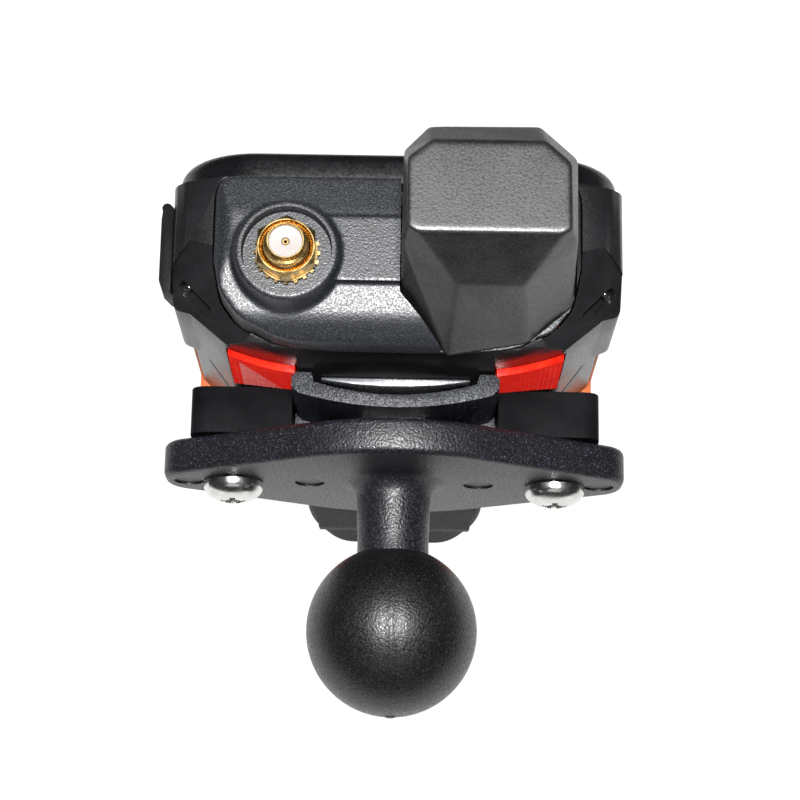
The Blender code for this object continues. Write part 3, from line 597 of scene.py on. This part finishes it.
def make_cradle():
    low, high = span("cradle")
    plate_front = span("ball_base")[0].y
    back = plate_front - 0.3
    front = -35.2
    width = high.x
    shape = [(0, high.z, 0), (width, high.z, 2.6), (width, -9.0, 4), (14.0, -17.0, 3), (0, -17.0, 0)]
    cradle = slab("cradle_block", filleted(shape, 8), front, back, "Y")
    round_edges(cradle, 0.9, 4, lambda mid, way: mid.z > -8 and abs(way.y) < 0.1)
    side_shape = [(front, -12.0, 0), (-31.0, -12.0, 0), (-31.0, -40.0, 20), (-33.2, -78.0, 20),
                  (-35.4, -91.0, 3), (-35.4, low.z, 0), (low.y, low.z, 1.5), (low.y, -91.0, 1),
                  (-64.2, -91.0, 0.8), (-64.2, -97.4, 1), (-50.4, -97.4, 2), (-45.2, -92.7, 3),
                  (-40.6, -74.0, 12), (front, -44.8, 8)]
    spine = slab("spine", rounded_outline(side_shape, 6), -17.2, 17.2, "X")
    narrow = [(0, -28.5, 0), (12.5, -28.5, 1.5), (14.0, -31.0, 1.5), (14.0, -38.0, 0), (14.0, -70.0, 0),
              (0, -70.0, 0)]
    foot = [(0, -35.4, 0), (10.5, -35.6, 8), (17.2, -40.6, 8), (17.2, -54.0, 4), (12.0, -60.0, 3),
            (12.0, -67.0, 1.5), (0, -67.0, 0)]
    neck = slab("spine_plan", filleted(narrow, 6), -85.0, -10.0, "Z")
    keep_inside(spine, join(neck, slab("foot_plan", filleted(foot, 10), -101.0, -84.5, "Z")))
    join(cradle, spine)
    recess = span("release_latch")[1].x + 0.2
    pin_low, pin_high = span("latch_pin")
    pin = (pin_low + pin_high) / 2
    recess_back = -28.9
    ways = [block("latch_recess", (-recess, -45, pin.z - 3.0), (recess, recess_back, 30)),
            disc("pin_way", 1.3, -17.6, 17.6, pin, "X")]
    for label in ("left", "right"):
        nut_low, nut_high = span("plate_nut_" + label)
        x = (nut_low.x + nut_high.x) / 2
        ways.append(disc("screw_way", 2.3, -45, -20, (x, 0, 0), "Y"))
        ways.append(disc("nut_pocket", 4.4, -45, nut_high.y + 0.3, (x, 0, 0), "Y", 6))
    cut(cradle, *ways)
    soften(cradle, 0.35, 3, 40)
    dress(cradle, "cradle", "mount", "cradle_plastic", "cradle", angle=30)


def make_latch():
    low, high = span("release_latch")
    half = high.x
    outer_mid, sag, band = high.y, 2.3, 1.9
    front = low.y
    outer = [(half * t, outer_mid - sag * t * t) for t in (0, 0.2, 0.4, 0.6, 0.8, 0.93)]
    inner = [(12.3 * t, outer_mid - band - 1.9 * t * t) for t in (0.97, 0.8, 0.6, 0.4, 0.2, 0)]
    shape = outer + [(half, outer_mid - sag - 0.7), (half, front), (12.3, front)] + inner
    hoop = slab("latch_hoop", mirrored(shape), -1.5, high.z, "Z")
    pin_low, pin_high = span("latch_pin")
    centre = (pin_low + pin_high) / 2
    join(hoop, disc("latch_barrel", 2.3, -half, half, centre, "X"),
         block("latch_root", (-half, centre.y - 1.6, centre.z), (half, centre.y + 1.3, 1.0)))
    cut(hoop, disc("latch_bore", 1.3, -30, 30, centre, "X", 32))
    soften(hoop, 0.35, 3, 34)
    dress(hoop, "latch", "latch", "latch_plastic", "release_latch")


# --------------------------------------------------------------- beacon casing

BACK_Y = -35.6                                  # back wall of the casing
SEAM_Y = -59.1                                  # rear edge of the front cover, with its gap
CORNER = ((27.8, -46.9, 29.3), 45.0, 45.0)      # place, turn and lean of a rear corner facet
SLOT_AT = (2.0, 5.1)                            # lanyard slot: towards the cap and down the facet


def upper_plan():
    """Plan of the upper housing from its back middle to its front middle, at +x."""
    side = span("upper_housing")[1].x
    return [(0, BACK_Y, 0), (14.0, -35.7, 6), (24.3, -36.6, 1.2), (29.6, -41.2, 0.6),
            (side, -42.2, 1.5), (side, SEAM_Y, 0), (0, SEAM_Y, 0)]


def cap_plan(grow=0.0):
    """Plan of the top cap, an island between the two shoulders."""
    side = span("top_cap")[1].x + grow
    front = SEAM_Y - grow
    return [(0, -34.9 + grow, 0), (8.5, -34.9 + grow, 10), (16.5, -35.7 + grow, 12),
            (22.2 + grow * 0.6, -38.2 + grow * 0.8, 5), (24.9 + grow, -41.8 + grow * 0.5, 5),
            (side, -46.5, 6), (side, front, 3.5), (0, front, 0)]


def end_fall():
    """Side shape of the crowned end face, in y and z."""
    return rounded_outline([(-70, 20, 0), (-70, 31.2, 0), (-53.2, 34.4, 5), (-47.6, 34.4, 8),
                            (-38.2, 32.6, 5), (-35.3, 29.8, 3), (-34.7, 25.0, 0), (-30, 20, 0)], 8)


def shoulder_fall():
    """Side shape of the shoulders: as the end face in front, lower behind it."""
    return rounded_outline([(-70, 20, 0), (-70, 31.0, 0), (-53.2, 34.1, 5), (-48.6, 34.0, 6),
                            (-42.0, 30.2, 5), (-37.2, 28.0, 4), (-34.2, 26.0, 0), (-30, 20, 0)], 6)


def filleted(points, steps=6):
    """Both halves of a plan of (x, y, radius) points, with rounded corners."""
    whole = points + [(-x, y, r) for x, y, r in reversed(points) if abs(x) > 1e-9]
    return rounded_outline(whole, steps)


def corner_matrix(side):
    place, turn, lean = CORNER
    return (Matrix.Translation(Vector((side * place[0], place[1], place[2])) * MM)
            @ Matrix.Rotation(math.radians(-side * turn), 4, "Z")
            @ Matrix.Rotation(math.radians(lean), 4, "X"))


def slot_matrix(side):
    inward, down = SLOT_AT
    return corner_matrix(side) @ Matrix.Translation(Vector((-side * inward, 0, -down)) * MM)


def make_top_cap():
    low, high = span("top_cap")
    seam = low.z
    jack_low, jack_high = span("coax_jack")
    jack = (jack_low + jack_high) / 2
    dish_floor = span("coax_washer")[0].z - GAP
    cap = slab("end_cap", end_fall(), -34, 34, "X")
    half_roof = [(0, 35.4, 0), (21.5, 35.2, 4), (24.8, 33.8, 2), (high.x, 32.4, 1),
                 (high.x + 0.2, 20, 0)]
    roof = half_roof + [(-x, z, r) for x, z, r in reversed(half_roof[1:])]
    keep_inside(cap, slab("cap_roof", rounded_outline(roof, 8), -75, -25, "Y"),
                slab("cap_outline", filleted(cap_plan()), seam, 60, "Z"))
    melt(cap, 0.3, 12)
    cut(cap, block("cap_room", (-22.0, -57, seam - 1), (22.0, -42.0, 29.0)))
    boss = turned("boss", [(0, high.z), (6.95, high.z), (7.3, high.z - 0.25), (7.45, high.z - 0.7),
                           (8.0, 32.6), (8.15, 29.4), (0, 29.4)], (jack.x, jack.y, 0), "Z", 96)
    band = block("band", (-2.0, -52.6, 29.6), (jack.x, -43.1, 34.65))
    join(cap, band, boss)
    cut(cap, block("far_corner_room", (-27.0, -43.0, 28.4), (-16.5, -33.0, 60)))
    melt(cap, 0.26, 3)
    antenna = [(-25.2, -70), (-0.4, -70), (-0.4, -42.0), (-7.1, -34.2), (-7.6, -33.0), (-18.0, -33.0),
               (-18.6, -36.2), (-25.2, -41.8)]
    cut(cap, turned("dish", [(0, 60), (6.35, 60), (6.35, dish_floor + 0.15), (6.2, dish_floor),
                             (0, dish_floor)], (jack.x, jack.y, 0), "Z", 72),
        disc("jack_way", 3.4, 20, 60, (jack.x, jack.y, 0), "Z"),
        disc("seal_room", 6.2, 20, 31.9, (jack.x, jack.y, 0), "Z"),
        slab("antenna_room", antenna, 27.5, 60, "Z"))
    dress(cap, "black", "beacon", "black_plastic", "top_cap", angle=26)


def make_lanyard_pins():
    for side, label in ((-1, "left"), (1, "right")):
        node = "lanyard_pin_" + label
        pin = turned(node + "_fine", [(0, 0.62), (0.4, 0.6), (0.46, 0.5), (0.46, -0.9), (0, -0.9)],
                     (0, 0, 0), "Z", 32)
        pin.data.transform(slot_matrix(side) @ Matrix.Translation(Vector((side * 1.9, -0.8, 0)) * MM))
        dress(pin, "steel", "beacon", "steel", node)


def make_antenna():
    """Antenna block: a hipped box whose rear corners are cut off slantwise."""
    low, high = span("antenna_housing")
    top, base = high.z, low.z
    near, far = high.x + 0.25, low.x - 0.25
    crown = [(-4.4, -57.8, top), (near - 0.6, -55.2, top), (near - 0.7, -45.6, top),
             (near - 1.7, -44.9, top), (far + 2.8, -44.9, top), (far + 1.8, -45.6, top),
             (far + 1.9, -54.8, top), (-19.9, -57.8, top)]
    girdle = [(-4.1, -61.6, 46), (near - 0.15, -58.0, 46), (near - 0.1, -44.6, 46), (-8.2, -40.0, 42),
              (-17.3, -40.0, 42), (far + 0.7, -45.0, 46), (far + 0.7, -57.0, 46), (-19.2, -61.8, 46)]
    foot = [(-4.1, -61.9, base), (near, -58.2, base), (near, -42.0, base), (-7.2, -34.2, base),
            (-18.6, -36.3, base), (far, -41.9, base), (far, -57.2, base), (-19.2, -62.1, base)]
    shape = loft("antenna_block", (crown, girdle, foot))
    cut(shape, block("front_room", (far - 5, -75, 20), (near + 5, -59.0, 31.2)))
    melt(shape, 0.26, 22)
    cut(shape, block("antenna_hollow", (low.x + 4.0, -55.5, base - 1), (high.x - 8.5, -45.0, 42.0)))
    dress(shape, "antenna", "beacon", "satin_plastic", "antenna_housing", angle=24)


def make_upper_housing():
    """Upper shell: shoulders beside the cap, slanted slotted corners, skirt below the lenses."""
    low, high = span("upper_housing")
    seam, rest, floor = 6.5, 26.2, 22.6
    side = high.x
    housing = slab("upper_shell", filleted(upper_plan(), 6), seam, rest, "Z")
    inner = [(x - 2 if x > 3 else x, y - 2, 0) for x, y, r in upper_plan()[:-2]]
    inner += [(side - 2, -70, 0), (0, -70, 0)]
    cut(housing, slab("upper_room", filleted(inner), -1, 40, "Z"))
    shoulders = slab("shoulders", filleted(upper_plan(), 6), floor, 40, "Z")
    half_roof = [(0, 33.4, 0), (25.0, 32.4, 2), (30.4, 30.0, 2.5), (side - 0.4, 28.4, 2),
                 (side + 0.3, 26.4, 2), (side + 0.3, 20, 0)]
    roof = half_roof + [(-x, z, r) for x, z, r in reversed(half_roof[1:])]
    keep_inside(shoulders, slab("shoulder_roof", rounded_outline(roof, 8), -75, -25, "Y"),
                slab("shoulder_fall_shape", shoulder_fall(), -40, 40, "X"))
    cut(shoulders, slab("island", filleted(cap_plan(0.22)), 10, 60, "Z"))
    skirt = [(0, BACK_Y, 0), (14.0, BACK_Y, 6), (24.0, -36.3, 1.2), (29.1, -41.2, 0.8),
             (side - 1.0, -43.2, 0.5), (27.4, -42.4, 0), (23.0, -38.0, 0), (14.0, -37.4, 0),
             (0, -37.4, 0)]
    join(housing, slab("skirt", filleted(skirt, 5), low.z, seam + 1.2, "Z"), shoulders)
    ways = [block("port_way", (27, -55.4, 11.5), (36, -47.6, 21.5))]
    near, far = 3.3, 12.0
    for sign in (-1, 1):
        ways.append(lens_shape("window", sign, 0.35, 5.0))
        groove = slab("groove", [(-0.22, -4), (0.22, -4), (0.22, 4), (-0.22, 4)], -1.2, 6, "Y")
        groove.data.transform(Matrix.Translation(Vector((sign * 26.3, -39.2, 1.2)) * MM)
                              @ Matrix.Rotation(math.radians(-sign * 43), 4, "Z")
                              @ Matrix.Rotation(math.radians(sign * 34), 4, "Y"))
        facet = block("facet", (-far if sign > 0 else -near, 0, -9), (near if sign > 0 else far, 12, 12))
        facet.data.transform(corner_matrix(sign))
        slot = slab("slot", rounded_rectangle(-3.1, 3.1, -0.95, 0.95, 0.5, 4), -1.6, 3.0, "Y")
        slot.data.transform(slot_matrix(sign))
        ways += [groove, facet, slot]
    cut(housing, *ways)
    soften(housing, 0.22, 2, 34)
    dress(housing, "satin", "beacon", "satin_plastic", "upper_housing")


LENS_INNER = 14.8        # x of the lens's inner edge
LENS_FACE_Y = -35.75     # its middle plane there, which slants forward towards the corner
LENS_SLANT = 0.95
CREST_LOW = 17.0         # z of the curved upper edge at the inner end, and its rise
CREST_RISE = 5.3
CREST_POWER = 1.9


def lens_outline(sign, grow):
    """A corner lens seen from the back: a curved upper edge that rises outwards."""
    low, high = span("marker_lens_right")
    inner, outer, base = LENS_INNER - grow, high.x + grow, low.z - grow
    crest = []
    for step in range(9):
        t = step / 8
        crest.append((inner + (outer - inner) * t, CREST_LOW + CREST_RISE * t ** CREST_POWER + grow))
    return [(sign * x, z) for x, z in [(inner, base), (outer, base)] + crest[::-1]]


def lens_shape(name, sign, grow, reach):
    """The lens outline made thick through the casing's back, following its slant."""
    outline = lens_outline(sign, grow)
    shape = slab(name, outline, -reach, reach, "Y")
    outer = span("marker_lens_right")[1].x
    for vertex in shape.data.vertices:
        across = (abs(vertex.co.x) / MM - LENS_INNER) / (outer - LENS_INNER)
        vertex.co.y += (LENS_FACE_Y - LENS_SLANT * across) * MM
    return shape


def make_lenses():
    low, high = span("marker_lens_right")
    for sign, label in ((-1, "left"), (1, "right")):
        lens = lens_shape("lens_" + label, sign, 0.0, 1.0)
        ribs = []
        count, first, flange = 9, 17.6, 1.6
        pitch = (high.x - first - 0.3) / count
        for index in range(count):
            x = first + pitch * (index + 0.5)
            across = (x - LENS_INNER) / (high.x - LENS_INNER)
            depth = LENS_FACE_Y + 1.0 - LENS_SLANT * across
            top = CREST_LOW - flange + CREST_RISE * across ** CREST_POWER
            rib = turned("rib", [(0, top), (pitch * 0.4, top), (pitch * 0.4, low.z - 1), (0, low.z - 1)],
                         (sign * x, depth + pitch * 0.31, 0), "Z", 16)
            ribs.append(rib)
        cut(lens, *ribs)
        look = "lens_clear" if sign > 0 else "lens"
        dress(lens, look, "beacon", "red_lens", "marker_lens_" + label, angle=30)


def make_ledge():
    low, high = span("clip_ledge")
    bow = [(high.x * t / 10, high.y + 0.05 - 0.95 * (t / 10) ** 2) for t in range(11)]
    outline = mirrored(bow + [(high.x, low.y - 0.25), (0, low.y - 0.25)])
    ledge = slab("ledge", outline, low.z, high.z, "Z")
    soften(ledge, 0.3, 3, 30)
    dress(ledge, "grey", "beacon", "grey_plastic", "clip_ledge")


def make_front_cover():
    """Front shell: a rounded slab with rounded front edges and openings for the window, keys and status
    light.
    """
    low, high = span("front_cover")
    side = high.x
    outline = rounded_rectangle(-side, side, low.z, high.z, 12.0, 12)
    cover = slab("face_shell", outline, low.y, high.y, "Y")
    round_edges(cover, 2.0, 6, lambda mid, way: abs(way.y) < 0.1 and mid.y < low.y + 0.1)
    inner = rounded_rectangle(-side + 2.2, side - 2.2, low.z + 2.2, high.z - 2.2, 9.8, 8)
    ways = [slab("face_room", inner, low.y + 1.9, -50, "Y")]
    pane_low, pane_high = span("screen_window")
    opening = rounded_rectangle(pane_low.x - GAP, pane_high.x + GAP, pane_low.z - GAP, pane_high.z + GAP,
                                3.0, 8)
    ways.append(slab("pane_way", opening, -80, -50, "Y"))
    for name in ("power_key", "confirm_key", "nav_pad", "sos_button"):
        key_low, key_high = span(name)
        radius = min(key_high.x - key_low.x, key_high.z - key_low.z) / 2
        opening = rounded_rectangle(key_low.x - GAP, key_high.x + GAP, key_low.z - GAP, key_high.z + GAP,
                                    radius, 10)
        ways.append(slab(name + "_way", opening, -80, -50, "Y"))
    light_low, light_high = span("status_light")
    middle = (light_low + light_high) / 2
    ways.append(disc("light_way", 1.5, -80, -50, (middle.x, 0, middle.z), "Y"))
    cut(cover, *ways)
    soften(cover, 0.3, 3, 40)
    dress(cover, "front", "beacon", "satin_plastic", "front_cover")


def make_rear_cover():
    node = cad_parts["rear_cover"]
    copy = new_object("rear_shell", node.data.copy())
    soften(copy, 0.5, 3, 30)
    dress(copy, "orange", "beacon", "orange_plastic", "rear_cover")


def make_port_cover():
    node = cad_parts["port_cover"]
    copy = new_object("port_flap_fine", node.data.copy())
    inner_face = span("upper_housing")[1].x + 0.4
    for vertex in copy.data.vertices:
        if inner_face - 0.3 < vertex.co.x / MM < inner_face:
            vertex.co.x -= 0.2 * MM
    soften(copy, 0.45, 3, 30)
    dress(copy, "seal", "port_flap", "seal_rubber", "port_cover")


def make_keys():
    """Keys with softened edges and generic marks cut into their faces."""
    for name, body in (("power_key", "power_button"), ("confirm_key", "confirm_button"),
                       ("nav_pad", "navigation_button")):
        low, high = span(name)
        radius = min(high.x - low.x, high.z - low.z) / 2 - 0.01
        key = slab(name + "_fine", rounded_rectangle(low.x, high.x, low.z, high.z, radius, 12),
                   low.y, high.y, "Y")
        middle = (low + high) / 2
        marks = []
        if name == "nav_pad":
            ring = turned("pad_ring", [(6.0, 1), (6.5, 1), (6.5, -0.25), (6.0, -0.25)],
                          (middle.x, low.y, middle.z), "Y", 64)
            marks.append(ring)
            for turn in range(4):
                arrow = slab("arrow", [(-0.9, 7.4), (0.9, 7.4), (0, 8.5)], -1, 0.2, "Y")
                arrow.data.transform(Matrix.Translation(Vector((middle.x, low.y, middle.z)) * MM)
                                     @ Matrix.Rotation(math.radians(90 * turn), 4, "Y"))
                marks.append(arrow)
        elif name == "power_key":
            marks.append(turned("power_ring", [(1.3, 1), (1.7, 1), (1.7, -0.2), (1.3, -0.2)],
                                (middle.x, low.y, middle.z), "Y", 32))
        else:
            check = [(-1.6, 0.1), (-0.5, -1.1), (1.7, 1.2), (1.3, 1.6), (-0.5, -0.3), (-1.2, 0.5)]
            tick = slab("tick", check, -1, 0.2, "Y")
            tick.data.transform(Matrix.Translation(Vector((middle.x, low.y, middle.z)) * MM))
            marks.append(tick)
        soften(key, 0.35, 3, 40)
        cut(key, *marks)
        dress(key, "keys", body, "key_rubber", name)


# ------------------------------------------------------------------ coaxial jack

def make_jack():
    low, high = span("coax_jack")
    centre = ((low.x + high.x) / 2, (low.y + high.y) / 2, 0)
    top = high.z
    profile = [(2.38, top - 0.1), (2.45, top), (2.55, top), (2.66, top - 0.14), (2.66, top - 1.15),
               (3.0, top - 1.3)]
    thread, root, pitch = 3.16, 2.8, 0.68
    z = top - 1.5
    while z > 31.4:
        profile += [(thread, z - 0.12), (thread, z - 0.24), (root, z - 0.5), (root, z - 0.58)]
        z -= pitch
    profile += [(3.16, 31.0), (3.16, 30.6), (5.6, 30.6), (5.6, low.z), (2.38, low.z)]
    jack = turned("jack_barrel", profile, centre, "Z", 72)
    dress(jack, "gold", "beacon", "gold_plate", "coax_jack", angle=24)

    nut_low, nut_high = span("coax_nut")
    across_flats = 8.0
    hexagon = arc(centre, across_flats / math.sqrt(3), 30, 330, 5)
    nut = slab("jack_nut", hexagon, nut_low.z, nut_high.z, "Z")
    height = nut_high.z - nut_low.z
    chamfers = [(0, height), (3.95, height), (4.75, height - 0.45), (4.75, 0.3), (4.2, 0), (0, 0)]
    crown = turned("nut_crown", chamfers, (centre[0], centre[1], nut_low.z), "Z", 64)
    keep_inside(nut, crown)
    bore = [(0, 50), (3.8, nut_high.z + 0.01), (3.3, nut_high.z - 0.5), (3.3, 30), (0, 30)]
    cut(nut, turned("nut_bore", bore, centre, "Z", 48))
    dress(nut, "gold", "beacon", "gold_plate", "coax_nut", angle=24)

    washer_low = span("coax_washer")[0]
    washer = turned("tooth_washer", [(3.5, 0.5), (4.3, 0.5), (4.3, 0), (3.5, 0)],
                    (centre[0], centre[1], washer_low.z), "Z", 64)
    teeth = []
    for index in range(20):
        tooth = block("tooth", (4.1, -0.25, 0.02), (4.65, 0.25, 0.35))
        tooth.data.transform(Matrix.Translation(Vector((centre[0], centre[1], washer_low.z)) * MM)
                             @ Matrix.Rotation(math.radians(18 * index), 4, "Z")
                             @ Matrix.Rotation(math.radians(9), 4, "X"))
        teeth.append(tooth)
    join(washer, *teeth)
    dress(washer, "dull_gold", "beacon", "gold_plate", "coax_washer", angle=24)

    core_low, core_high = span("coax_dielectric")
    end = core_high.z
    profile = [(0.5, end - 0.35), (0.62, end - 0.1), (2.2, end), (2.35, end - 0.1), (2.35, core_low.z),
               (0.5, core_low.z)]
    filling = turned("jack_filling", profile, centre, "Z", 56)
    dress(filling, "white", "beacon", "insulator", "coax_dielectric")

    pin_low, pin_high = span("coax_contact")
    end = pin_high.z + 0.2
    profile = [(0.18, end - 0.7), (0.24, end), (0.42, end), (0.45, end - 0.1), (0.45, pin_low.z),
               (0.18, pin_low.z)]
    contact = turned("jack_contact", profile, centre, "Z", 32)
    dress(contact, "gold", "beacon", "gold_plate", "coax_contact")


# ---------------------------------------------------------------- set dressing

CARRIED = {
    "steel": ("plate_nut_left", "plate_nut_right", "latch_pin", "latch_spring", "satellite_modem",
              "usb_socket", "housing_screw_1", "housing_screw_2", "housing_screw_3",
              "housing_screw_4"),
    "orange": ("sos_guard", "sos_button"),
    "ceramic": ("satellite_antenna", "gps_antenna", "buzzer"),
    "white": ("marker_led_left", "marker_led_right", "status_light"),
    "seal": ("coax_seal", "housing_seal", "keypad_mat"),
    "glass": ("screen_window",),
    "display": ("display_module",),
    "board": ("main_board",),
    "film": ("battery",),
}


def dress_carried_nodes():
    """Give every CAD node that stays a finished material."""
    for look, names in CARRIED.items():
        for name in names:
            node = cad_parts[name]
            node.data.materials.clear()
            node.data.materials.append(LOOKS[look].material)


def make_stage():
    """Pale floor of limited size, like a sheet of paper under the object."""
    half, corner = 420, 120
    floor = slab("floor", rounded_rectangle(-half, half, -half, half, corner, 12), -1, 0, "Z")
    floor.location = Vector((0, -40, FLOOR_Z)) * MM
    look = Look("pale_floor", (0.1, 0.1, 0.1), 0.9)
    look.tint(look.mix(look.spread(look.noise(60.0, 2.0), 0.3, 0.7, 0.0, 1.0),
                       (0.09, 0.09, 0.09), (0.11, 0.11, 0.11)))
    look.set("Emission Color", (1, 1, 1, 1))
    look.set("Emission Strength", 1.0)
    look.set("Specular IOR Level", 0.0)
    floor.data.materials.append(look.material)


def soft_light(name, place, target, size, power):
    data = bpy.data.lights.new(name, "AREA")
    data.shape = "RECTANGLE"
    data.size = size[0] * MM
    data.size_y = size[1] * MM
    data.energy = power
    light = bpy.data.objects.new(name, data)
    bpy.context.scene.collection.objects.link(light)
    light.location = Vector(place) * MM
    aim = Vector(target) * MM - light.location
    light.rotation_euler = aim.to_track_quat("-Z", "Y").to_euler()


def make_lights():
    world = bpy.data.worlds.new("studio")
    world.use_nodes = True
    tree = world.node_tree
    dim = tree.nodes["Background"]
    dim.inputs["Color"].default_value = (0.95, 0.97, 1.0, 1)
    dim.inputs["Strength"].default_value = 0.04
    bright = tree.nodes.new("ShaderNodeBackground")
    bright.inputs["Color"].default_value = (1, 1, 1, 1)
    seen = tree.nodes.new("ShaderNodeLightPath").outputs["Is Camera Ray"]
    either = tree.nodes.new("ShaderNodeMixShader")
    tree.links.new(seen, either.inputs[0])
    tree.links.new(dim.outputs[0], either.inputs[1])
    tree.links.new(bright.outputs[0], either.inputs[2])
    tree.links.new(either.outputs[0], tree.nodes["World Output"].inputs["Surface"])
    bpy.context.scene.world = world
    aim = (0, -25, 0)
    soft_light("key_light", (0, 0, 640), aim, (150, 150), 9.0)
    soft_light("fill_light", (0, 500, 420), aim, (500, 300), 0.3)


def make_camera():
    data = bpy.data.cameras.new("camera")
    data.lens = LENS_MM
    data.clip_start = 0.01
    data.clip_end = 10.0
    camera = bpy.data.objects.new("camera", data)
    bpy.context.scene.collection.objects.link(camera)
    pitch = math.radians(CAMERA_DOWN)
    back = Vector((0, math.cos(pitch), math.sin(pitch)))
    up = Vector((0, -math.sin(pitch), math.cos(pitch)))
    right = up.cross(back)
    turn = Matrix((right, up, back)).transposed().to_4x4()
    roll = Matrix.Rotation(math.radians(CAMERA_ROLL), 4, "Z")
    camera.matrix_world = Matrix.Translation(Vector(CAMERA_AT) * MM) @ turn @ roll
    bpy.context.scene.camera = camera


make_camera()
make_stage()
make_lights()
dress_carried_nodes()
make_ball()
make_base()
make_plate_screws()
make_cradle()
make_latch()
make_top_cap()
make_lanyard_pins()
make_antenna()
make_upper_housing()
make_lenses()
make_ledge()
make_front_cover()
make_rear_cover()
make_port_cover()
make_keys()
make_jack()

bpy.context.scene.view_settings.view_transform = "Standard"
